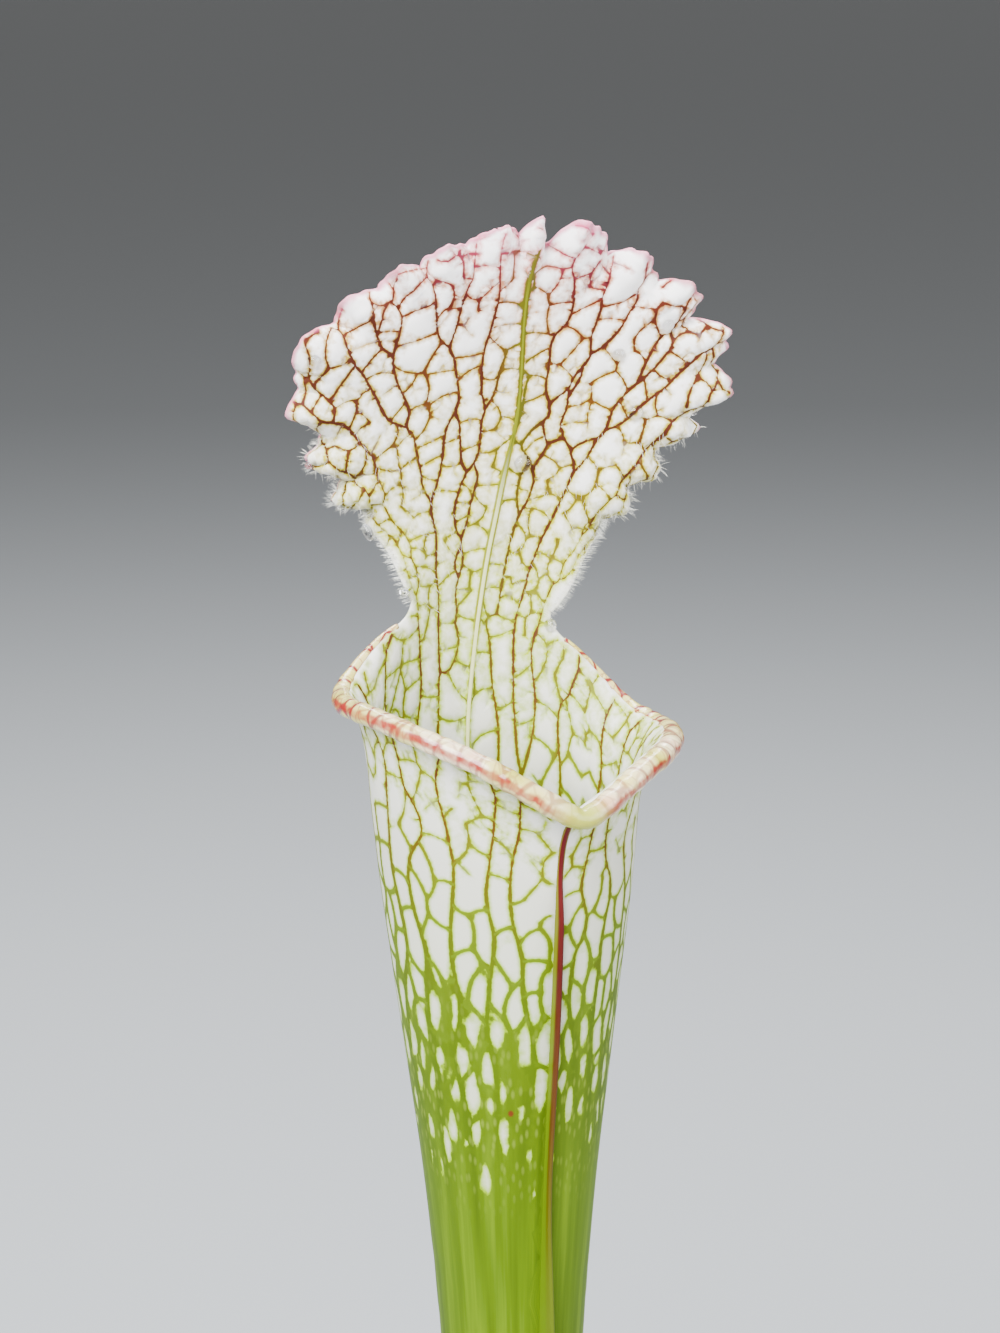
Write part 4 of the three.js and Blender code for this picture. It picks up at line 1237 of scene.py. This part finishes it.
def build_wing(settings):
    """The wing, a thin keel down the front of the tube"""
    levels = np.concatenate([np.arange(-1.5, -80, -0.9), np.arange(-80, FOOT_LEVEL + 2, -2.5)])
    depth = through(WING_DEPTH, levels)
    flat = np.stack([np.full(len(levels), SEAM), levels + LIP_CORNER], -1)
    middle, across, _, normal = leaf_frame(flat)
    # Across the wing: how far out towards the crest, and how far aside
    section = ((-0.35, 0.62), (0.08, 0.46), (0.45, 0.33), (0.8, 0.28), (0.96, 0.2), (1.0, 0.0))
    section = section + tuple((out, -aside) for out, aside in section[-2::-1])
    rows = []
    for out, aside in section:
        reach = LEAF_THICKNESS / 2 + np.where(out < 0.1, out, out * (depth + 0.12))
        wave = settings.wave / MM * np.sin(levels * 0.09) * max(out, 0) * smooth(-30, -90, levels)
        rows.append(middle - normal * reach[:, None] + across * (aside + wave)[:, None])
    numbers = {
        "stand": np.repeat(levels + LIP_CORNER, len(section)),
        "crest": np.tile([max(out, 0) for out, _ in section], len(levels)),
    }
    points, faces = np.stack(rows, 1).reshape(-1, 3), ring_faces(len(levels), len(section))
    return piece("wing", points, faces, wing_skin(), "leaf", (), numbers)


# How near the margin a hair stands out past it
HAIR_MARGIN = 0.8


def build_hairs(settings):
    """Fine hairs over the hood's face and neck, thickest where the neck rolls back"""
    rng = np.random.default_rng(11)
    count = settings.count
    tries = count * 16
    psi = rng.uniform(92, 170, tries) * rng.choice((-1, 1), tries)
    flat = fan_point(psi, margin_radius(psi) * rng.uniform(0.5, 0.99, tries))
    flat = flat[(margin_distance(flat) > 0.2) & (flat[:, 1] > LIP_CORNER + 1)]
    # They stand thick where the skin faces sideways and thin on the face.
    normal = leaf_frame(flat)[3]
    chosen = (np.abs(normal[:, 0]) > 0.72) & (rng.random(len(flat)) < 0.5 - 0.35 * smooth(22, 28, flat[:, 1]))
    by_margin = margin_distance(flat) < HAIR_MARGIN
    chosen |= by_margin & (rng.random(len(flat)) < 1 - 0.6 * smooth(26, 34, flat[:, 1]))
    chosen |= rng.random(len(flat)) < 0.03
    flat = flat[chosen][:count]
    middle, across, up, normal = leaf_frame(flat)
    # Every other hair stands on the back, and those at the margin also point out past it.
    normal = normal * np.where(np.arange(len(flat)) % 2, -1, 1)[:, None]
    length = rng.uniform(0.6, 1.0, len(flat))[:, None] * settings.length / MM
    outward = across * (np.sign(flat[:, 0]) * 2.2 * (margin_distance(flat) < HAIR_MARGIN))[:, None]
    lean = normal + outward + up * rng.uniform(-0.9, -0.1, (len(flat), 1)) + across * rng.normal(0, 0.3, (len(flat), 1))
    lean = unit(lean)
    droop = unit(lean - np.array([0, 0, 0.45]))
    root = middle + normal * 0.35
    side = unit(np.cross(lean, up))
    other = np.cross(lean, side)
    rows = []
    for share, thick in ((0, 1), (0.45, 0.75), (0.8, 0.45)):
        centre = root + lean * (length * share) + droop * (length * share**2 * 0.25)
        for a in (0, 2 * math.pi / 3, 4 * math.pi / 3):
            rows.append(centre + (side * math.cos(a) + other * math.sin(a)) * settings.thickness / MM / 2 * thick)
    tip = root + lean * length + droop * (length * 0.3)
    points = np.stack([*rows, tip], 1).reshape(-1, 3)
    faces = []
    for base in range(0, len(points), 10):
        faces += ring_faces(3, 3, base)[:-1]
        faces += [(base + 6 + k, base + 6 + (k + 1) % 3, base + 9) for k in range(3)]
    return piece("leaf_hairs", points, faces, hair_wax(), "leaf")


# Where dew hangs: across and up the flat sheet, and the drop's radius
DEW = (
    (-29.3, 46, 1.0), (-24.2, 22.3, 1.05), (-20.2, 17.8, 1.0), (-12.5, 12.5, 0.7), (24.2, 26.5, 1.0),
    (28.5, 30.5, 0.9), (30.5, 38.5, 0.8), (19, 51, 0.9), (3.4, 31, 1.25), (13.5, 46.5, 0.9),
    (17.6, 38.4, 1.1), (10.9, 9.6, 0.9), (-27.5, 30.5, 0.7),
)


def build_dew(settings):
    """Dew drops, each a flattened cap that sags a little"""
    rings, sides = 9, 20
    sag = np.array([0, 0, 0.16])
    points, faces = [], []
    for (_, _, size), middle, across, up, normal in zip(DEW, *leaf_frame(np.array(DEW)[:, :2])):
        size *= settings.size / MM
        faces += ring_faces(rings, sides, len(points), flipped=True)
        for tall in math.pi * (np.arange(rings) + 0.5) / rings:
            out, height = size * math.sin(tall), size * 0.72 * math.cos(tall)
            centre = middle + normal * (LEAF_THICKNESS / 2 + height + 0.22 * size)
            for x, y, _ in circle(out, 0, sides):
                points.append(centre + across * x + up * y - sag * max(height, 0))
    return piece("dew_drops", np.array(points), faces, dew_water(), "leaf")


# The pot and what fills it

BAND_Z = POT_HEIGHT - POT_BAND_DEPTH


def pot_wall_radius(z):
    """The pot's outer radius under its band"""
    return POT_FOOT_RADIUS + (POT_NECK_RADIUS - POT_FOOT_RADIUS) * z / BAND_Z


def pot_inner_radius(z):
    """The pot's inner radius, wider over the ledge"""
    on_ledge = min(1, max(0, (z - BAND_Z) / POT_LEDGE))
    return pot_wall_radius(min(z, BAND_Z)) - POT_WALL + on_ledge * (POT_RIM_RADIUS - POT_NECK_RADIUS - 1)


def rounded(profile, radius):
    """The profile with its corners rounded off, up to half of each side"""
    made = [profile[0]]
    for a, b, c in zip(profile, profile[1:], profile[2:]):
        a, b, c = np.array(a, float), np.array(b, float), np.array(c, float)
        reach = min(radius, np.linalg.norm(a - b) * 0.45, np.linalg.norm(c - b) * 0.45)
        start, end = b + unit(a - b) * reach, b + unit(c - b) * reach
        for t in np.linspace(0, 1, 5):
            made.append(tuple(start * (1 - t) ** 2 + 2 * b * t * (1 - t) + end * t**2))
    return [*made, profile[-1]]


def spun(rows, segments):
    """Rings of points, joined from the first to the last; a row is one point or a ring of segments points"""
    points, faces, starts = [], [], []
    for row in rows:
        starts.append(len(points))
        points += list(row)
    for i, (a, b) in enumerate(zip(starts, starts[1:])):
        for k in range(segments):
            n = (k + 1) % segments
            if len(rows[i]) == 1:
                faces.append((a, b + n, b + k))
            elif len(rows[i + 1]) == 1:
                faces.append((a + k, a + n, b))
            else:
                faces.append((a + k, a + n, b + n, b + k))
    return np.array(points), faces


def circle(radius, z, segments):
    """A ring of points, or one point where the radius is nothing"""
    if radius == 0:
        return [(0, 0, z)]
    around = np.linspace(0, 2 * math.pi, segments, endpoint=False)
    return [(radius * math.cos(a), radius * math.sin(a), z) for a in around]


def build_pot(settings):
    """The round pot: a tapered cup with a band round its rim, a foot ring and drain holes"""
    segments, sides, drill_top = 120, 32, 9
    inside_foot = POT_FOOT_RADIUS - POT_FOOT_WIDTH
    outline = rounded([
        (0, POT_FOOT_DEPTH), (inside_foot, POT_FOOT_DEPTH), (inside_foot, 0), (POT_FOOT_RADIUS - 0.4, 0),
        (pot_wall_radius(1.2), 1.2), (POT_NECK_RADIUS, BAND_Z), (POT_RIM_RADIUS - 0.8, BAND_Z + 1),
        (POT_RIM_RADIUS - 0.5, BAND_Z + 2.4), (POT_RIM_RADIUS, POT_HEIGHT - 0.6), (POT_RIM_RADIUS - 0.9, POT_HEIGHT),
        (POT_RIM_RADIUS - POT_WALL - 0.2, POT_HEIGHT), (pot_inner_radius(POT_HEIGHT), BAND_Z + POT_LEDGE),
        (pot_inner_radius(BAND_Z), BAND_Z), (pot_inner_radius(POT_FLOOR), POT_FLOOR), (0, POT_FLOOR),
    ], 0.7)
    points, faces = spun([circle(r, z, segments) for r, z in outline], segments)
    pot = piece("round_pot", points, faces, moulded_plastic(settings), "pot_plastic", ("pot",))
    pot.data.set_sharp_from_angle(angle=math.radians(40))
    rings = ((0, 0), (DRAIN_RADIUS, 0), (DRAIN_RADIUS, drill_top), (0, drill_top))
    hole, around = spun([circle(r, z, sides) for r, z in rings], sides)
    holes, walls = [], []
    for i, (x, y, _) in enumerate(circle(DRAIN_CIRCLE, 0, DRAIN_HOLES)):
        holes.append(hole + (x, y, 0))
        walls += [tuple(v + i * len(hole) for v in face) for face in around]
    mesh = bpy.data.meshes.new("drill")
    mesh.from_pydata((np.vstack(holes) * MM).tolist(), [], walls)
    drill = linked("drill", mesh)
    cut = pot.modifiers.new("drain_holes", "BOOLEAN")
    cut.object, cut.operation, cut.solver = drill, "DIFFERENCE", "EXACT"
    drilled = bpy.data.meshes.new_from_object(pot.evaluated_get(bpy.context.evaluated_depsgraph_get()))
    pot.modifiers.clear()
    pot.data = drilled
    bpy.data.objects.remove(drill)
    if len(drilled.polygons) < len(faces):
        raise RuntimeError("the pot's drain holes could not be cut")
    return pot


def soil_top(x, y):
    """The peat's mounded top, as in the part's source"""
    r = np.hypot(x, y)
    lumps = np.sin(x * 0.21 + 1.3) * np.cos(y * 0.19 - 0.4) + 0.5 * np.sin(x * 0.43 - y * 0.37)
    return SOIL_LEVEL + SOIL_MOUND * (1 - (r / POT_NECK_RADIUS) ** 2) + SOIL_BUMP * lumps


def crumbled(x, y):
    """The peat's top with its small clods"""
    rough = noise.fractal(Vector((x * 0.35, y * 0.35, 3.1)), 1.0, 2.0, 4)
    return float(soil_top(x, y)) + 0.75 * rough + 0.35 * noise.noise(Vector((x * 1.4, y * 1.4, 8.0)))


def lumps_at(rng, places, sizes, flatness=0.7):
    """Small irregular grains, each a distorted ball"""
    ball = bmesh.new()
    bmesh.ops.create_icosphere(ball, subdivisions=2, radius=1)
    base = np.array([v.co for v in ball.verts])
    sides = np.array([[v.index for v in f.verts] for f in ball.faces])
    ball.free()
    points, faces = [], []
    for i, (place, size) in enumerate(zip(places, sizes)):
        bent = base.copy()
        for _ in range(5):
            way = unit(rng.normal(size=3))
            bent *= 1 + 0.16 * np.sin(2.6 * base @ way + rng.uniform(0, 6.3))[:, None]
        spin, _ = np.linalg.qr(rng.normal(size=(3, 3)))
        bent = (bent * rng.uniform(0.6, 1.15, 3)) @ spin * size
        bent[:, 2] *= flatness
        points.append(bent + place)
        faces.append(sides + i * len(base))
    return np.vstack(points), np.vstack(faces)


# How far from the pot's middle loose grains lie, and the longest reach of a fibre
GRAIN_REACH = 50.5
FIBRE_REACH = 51
FIBRES = 150


def strands_at(rng, starts, lengths, radius, knots=7, sides=5):
    """Thin crooked fibres that lie on the peat"""
    points, faces = [], []
    for (x, y), length in zip(starts, lengths):
        heading = rng.uniform(0, 2 * math.pi)
        bend = rng.uniform(-0.25, 0.25)
        spine = []
        for _ in range(knots):
            spine.append((x, y, crumbled(x, y) + 0.25))
            heading += bend + rng.uniform(-0.3, 0.3)
            x += math.cos(heading) * length / (knots - 1)
            y += math.sin(heading) * length / (knots - 1)
        if max(math.hypot(x, y) for x, y, _ in spine) > FIBRE_REACH:
            continue
        faces += ring_faces(knots, sides, len(points))
        way = unit(np.gradient(np.array(spine), axis=0))
        side = unit(np.cross(way, (0, 0, 1)))
        for i, (p, a, b) in enumerate(zip(np.array(spine), side, np.cross(side, way))):
            thick = radius * (0.35 if i in (0, knots - 1) else 1)
            points += [p + (a * x + b * y) * thick for x, y, _ in circle(1, 0, sides)]
    return np.array(points), faces


def build_peat(settings):
    """The peat that fills the pot, with loose crumbs, perlite and fibres on top"""
    rng = np.random.default_rng(21)
    segments, rings = 150, 56
    shoulder = BAND_Z + POT_LEDGE * 0.6
    rows = [circle(0, POT_FLOOR + 0.3, segments)]
    for z in (POT_FLOOR + 0.3, BAND_Z / 2, BAND_Z, shoulder):
        rows.append(circle(pot_inner_radius(z) - 0.35, z, segments))
    edge = pot_inner_radius(shoulder) - 0.9
    for i in range(rings):
        ring = circle(edge * (1 - i / rings), 0, segments)
        rows.append([(x, y, crumbled(x, y) - 0.6 * (i == 0)) for x, y, _ in ring])
    rows.append([(0, 0, crumbled(0, 0))])
    piece("peat_bed", *spun(rows, segments), peat_fibre("moss_peat", "#1d130c", "#3d2a1b", 420), "peat", ("peat",))

    def scattered(count, reach=GRAIN_REACH):
        """Places on the peat, clear of the leaf's foot and the rhizome"""
        radius = reach * np.sqrt(rng.uniform(0, 1, count))
        around = rng.uniform(0, 2 * math.pi, count)
        flat = np.stack([radius * np.cos(around), radius * np.sin(around)], -1)
        return flat[(np.abs(flat[:, 1]) > 7) | (flat[:, 0] < -30) | (flat[:, 0] > 18)]

    def resting(flat, sizes, sunk):
        """Those places at the height of the peat, and a share of each grain's size off it"""
        return np.array([(x, y, crumbled(x, y) + size * sunk) for (x, y), size in zip(flat, sizes)])

    flat = scattered(settings.crumbs)
    sizes = rng.uniform(0.35, 1.0, len(flat)) ** 1.5 * 1.9
    crumbs = lumps_at(rng, resting(flat, sizes, 0.15), sizes)
    piece("peat_crumbs", *crumbs, peat_fibre("peat_crumb", "#2a1b11", "#57402a", 260), "peat")
    flat = scattered(settings.perlite)
    sizes = rng.uniform(0.5, 1.35, len(flat))
    grains = lumps_at(rng, resting(flat, sizes, 0.2), sizes, 0.9)
    piece("perlite", *grains, perlite_foam(), "peat")
    flat = scattered(FIBRES, 46)
    strands = strands_at(rng, flat, rng.uniform(4, 11, len(flat)), 0.22)
    return piece("peat_fibres", *strands, peat_fibre("peat_root_fibre", "#4a3320", "#8a6a44", 200), "peat")


def build_rhizome(settings):
    """The rhizome, a knobbly stem ringed with leaf scars"""
    sections, sides = 110, 40
    s = np.linspace(0.03, math.pi - 0.03, sections)
    middle = RHIZOME_X - RHIZOME_HALF_LENGTH * np.cos(s)
    radius = RHIZOME_RADIUS * np.sin(s) ** 0.45 * (1 + 0.09 * np.sin(s / math.pi * 12 * 2.3))
    rows = [[(middle[0] - 0.3, 0, RHIZOME_Z)]]
    for x, thick in zip(middle, radius):
        ring = []
        for k in range(sides):
            a = 2 * math.pi * k / sides
            scar = settings.scars / MM * abs(math.sin(x * 1.15 + 0.5 * math.sin(a * 2))) ** 3
            bark = 0.22 * noise.noise(Vector((x * 0.9, math.cos(a) * 4, math.sin(a) * 4)))
            r = thick - scar + bark * min(1, thick / 3)
            ring.append((x, r * math.cos(a), RHIZOME_Z + 0.8 * r * math.sin(a)))
        rows.append(ring)
    rows.append([(middle[-1] + 0.3, 0, RHIZOME_Z)])
    return piece("rhizome_stem", *spun(rows, sides), rhizome_bark(), "rhizome", ("rhizome",))


# The studio

CAMERA_TURN = math.radians(-17)
CAMERA_RISE = math.radians(17)
CAMERA_DISTANCE = 0.35
# The photo's focal length and how far the mouth's centre lies right of and under its centre, in its pixels
PHOTO_HEIGHT = 1333
PHOTO_FOCUS = 2625
PHOTO_SHIFT = (2, 51.5)


def turned(made, way):
    """Turns a light or camera so that it looks that way"""
    made.rotation_mode = "QUATERNION"
    made.rotation_quaternion = way.to_track_quat("-Z", "Y")


def build_stage(settings):
    """A pale paper floor, three soft lights and the camera"""
    size = 30.0
    mesh = bpy.data.meshes.new("studio_floor")
    mesh.from_pydata([(-size, -size, 0), (size, -size, 0), (size, size, 0), (-size, size, 0)], [], [(0, 1, 2, 3)])
    mesh.materials.append(studio_paper(settings))
    floor = linked("studio_floor", mesh)

    target = Vector((0, MOUTH_Y, MOUTH_Z)) * MM
    for name, place, width, height, power in (
        ("key", (-0.55, -0.55, 0.95), 0.7, 0.7, 1),
        ("fill", (0.8, -0.7, 0.5), 0.9, 0.9, 0.35),
        ("crown", (0.15, 0.55, 1.1), 0.8, 0.6, 0.7),
    ):
        data = bpy.data.lights.new(name, "AREA")
        data.shape = "RECTANGLE"
        data.size, data.size_y, data.energy = width, height, settings.key_power * power
        light = linked(name, data)
        light.location = place
        turned(light, target - Vector(place))

    world = bpy.data.worlds.new("soft_room")
    world.use_nodes = True
    put(world.node_tree, world.node_tree.nodes["Background"], "#e8e6e3", settings.room_light)
    bpy.context.scene.world = world

    sideways, rise = math.sin(CAMERA_TURN), math.cos(CAMERA_RISE)
    back = Vector((sideways * rise, -math.cos(CAMERA_TURN) * rise, math.sin(CAMERA_RISE)))
    data = bpy.data.cameras.new("camera")
    data.sensor_width = 36
    data.lens = PHOTO_FOCUS / PHOTO_HEIGHT * data.sensor_width
    data.clip_start, data.clip_end = 0.01, 100
    camera = linked("camera", data)
    camera.location = target + back * CAMERA_DISTANCE
    aim = (-back).to_track_quat("-Z", "Y")
    right, upward = aim @ Vector((1, 0, 0)), aim @ Vector((0, 1, 0))
    turned(camera, upward * (PHOTO_SHIFT[1] / PHOTO_FOCUS) - back - right * (PHOTO_SHIFT[0] / PHOTO_FOCUS))
    bpy.context.scene.camera = camera


# Settings that a user would change


class LeafSettings(bpy.types.PropertyGroup):
    puff: FloatProperty(
        name="Areole puff", description="How far the leaf swells between its veins", default=0.00032, unit="LENGTH"
    )
    ridge: FloatProperty(
        name="Vein ridge", description="How far veins stand out of the leaf's back", default=0.00012, unit="LENGTH"
    )
    margin_colour: FloatVectorProperty(
        name="Margin", description="Colour of the hood's rim", subtype="COLOR", default=linear("#c4557e")[:3]
    )


class LipSettings(bpy.types.PropertyGroup):
    swell: FloatProperty(name="Swell", description="Share by which the roll swells between its veins", default=0.06)
    vein_colour: FloatVectorProperty(
        name="Veins", description="Colour of the lip's cross veins", subtype="COLOR", default=linear("#74201f")[:3]
    )


class WingSettings(bpy.types.PropertyGroup):
    wave: FloatProperty(
        name="Wave", description="How far the wing's crest wanders aside", default=0.0007, unit="LENGTH"
    )


class HairSettings(bpy.types.PropertyGroup):
    count: IntProperty(name="Hairs", description="Number of hairs", default=2800)
    length: FloatProperty(name="Length", description="Longest hair", default=0.0015, unit="LENGTH")
    thickness: FloatProperty(
        name="Thickness", description="Hair thickness at its root", default=0.00004, unit="LENGTH"
    )


class DewSettings(bpy.types.PropertyGroup):
    size: FloatProperty(name="Size", description="Radius of a middling drop", default=0.001, unit="LENGTH")


class RhizomeSettings(bpy.types.PropertyGroup):
    scars: FloatProperty(
        name="Scars", description="Depth of the leaf scars round the rhizome", default=0.0005, unit="LENGTH"
    )


class PeatSettings(bpy.types.PropertyGroup):
    crumbs: IntProperty(name="Crumbs", description="Number of loose peat crumbs", default=620)
    perlite: IntProperty(name="Perlite", description="Number of perlite grains", default=95)


class PotSettings(bpy.types.PropertyGroup):
    colour: FloatVectorProperty(
        name="Colour", description="Colour of the pot's plastic", subtype="COLOR", default=linear("#2f3033")[:3]
    )


class StageSettings(bpy.types.PropertyGroup):
    floor_colour: FloatVectorProperty(
        name="Floor", description="Colour of the floor", subtype="COLOR", default=linear("#8f9397")[:3]
    )
    key_power: FloatProperty(name="Key light", description="Power of the main light", default=54.0, unit="POWER")
    room_light: FloatProperty(name="Room light", description="Strength of the light all round", default=0.45)


class PLANT_OT_leaf(bpy.types.Operator):
    """Builds the veined leaf: tube, neck and hood"""

    bl_idname = "plant.leaf"
    bl_label = "Leaf"

    def execute(self, context):
        build_leaf(context.scene.plant_leaf)
        return {"FINISHED"}


class PLANT_OT_lip(bpy.types.Operator):
    """Builds the rolled lip round the mouth"""

    bl_idname = "plant.lip"
    bl_label = "Lip"

    def execute(self, context):
        build_lip(context.scene.plant_lip)
        return {"FINISHED"}


class PLANT_OT_wing(bpy.types.Operator):
    """Builds the wing down the front of the tube"""

    bl_idname = "plant.wing"
    bl_label = "Wing"

    def execute(self, context):
        build_wing(context.scene.plant_wing)
        return {"FINISHED"}


class PLANT_OT_hairs(bpy.types.Operator):
    """Builds the leaf's fine hairs"""

    bl_idname = "plant.hairs"
    bl_label = "Hairs"

    def execute(self, context):
        build_hairs(context.scene.plant_hairs)
        return {"FINISHED"}


class PLANT_OT_dew(bpy.types.Operator):
    """Builds the dew drops on the hood"""

    bl_idname = "plant.dew"
    bl_label = "Dew"

    def execute(self, context):
        build_dew(context.scene.plant_dew)
        return {"FINISHED"}


class PLANT_OT_rhizome(bpy.types.Operator):
    """Builds the rhizome that the leaf grows from"""

    bl_idname = "plant.rhizome"
    bl_label = "Rhizome"

    def execute(self, context):
        build_rhizome(context.scene.plant_rhizome)
        return {"FINISHED"}


class PLANT_OT_peat(bpy.types.Operator):
    """Builds the peat with its crumbs, perlite and fibres"""

    bl_idname = "plant.peat"
    bl_label = "Peat"

    def execute(self, context):
        build_peat(context.scene.plant_peat)
        return {"FINISHED"}


class PLANT_OT_pot(bpy.types.Operator):
    """Builds the round pot with its drain holes"""

    bl_idname = "plant.pot"
    bl_label = "Pot"

    def execute(self, context):
        build_pot(context.scene.plant_pot)
        return {"FINISHED"}


class PLANT_OT_stage(bpy.types.Operator):
    """Sets up the floor, lights and camera"""

    bl_idname = "plant.stage"
    bl_label = "Stage"

    def execute(self, context):
        build_stage(context.scene.plant_stage)
        return {"FINISHED"}


SETTINGS = {
    "plant_leaf": LeafSettings,
    "plant_lip": LipSettings,
    "plant_wing": WingSettings,
    "plant_hairs": HairSettings,
    "plant_dew": DewSettings,
    "plant_rhizome": RhizomeSettings,
    "plant_peat": PeatSettings,
    "plant_pot": PotSettings,
    "plant_stage": StageSettings,
}
OPERATORS = (
    PLANT_OT_stage, PLANT_OT_leaf, PLANT_OT_lip, PLANT_OT_wing, PLANT_OT_hairs, PLANT_OT_dew, PLANT_OT_rhizome,
    PLANT_OT_peat, PLANT_OT_pot,
)


class PLANT_PT_pieces(bpy.types.Panel):
    """Lists the plant's pieces and their settings"""

    bl_idname = "PLANT_PT_pieces"
    bl_label = "Pitcher Plant"
    bl_space_type = "VIEW_3D"
    bl_region_type = "UI"
    bl_category = "Pitcher Plant"

    def draw(self, context):
        for operator in OPERATORS:
            self.layout.operator(operator.bl_idname)
        for name, group in SETTINGS.items():
            box = self.layout.box()
            for key in group.__annotations__:
                box.prop(getattr(context.scene, name), key)


def register():
    for made in (*SETTINGS.values(), *OPERATORS, PLANT_PT_pieces):
        bpy.utils.register_class(made)
    for name, group in SETTINGS.items():
        setattr(bpy.types.Scene, name, PointerProperty(type=group))


def unregister():
    for name in SETTINGS:
        delattr(bpy.types.Scene, name)
    for made in reversed((*SETTINGS.values(), *OPERATORS, PLANT_PT_pieces)):
        bpy.utils.unregister_class(made)


def main():
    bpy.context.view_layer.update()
    register()
    for operator in OPERATORS:
        group, name = operator.bl_idname.split(".")
        getattr(getattr(bpy.ops, group), name)()
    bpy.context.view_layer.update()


if __name__ == "__main__":
    main()
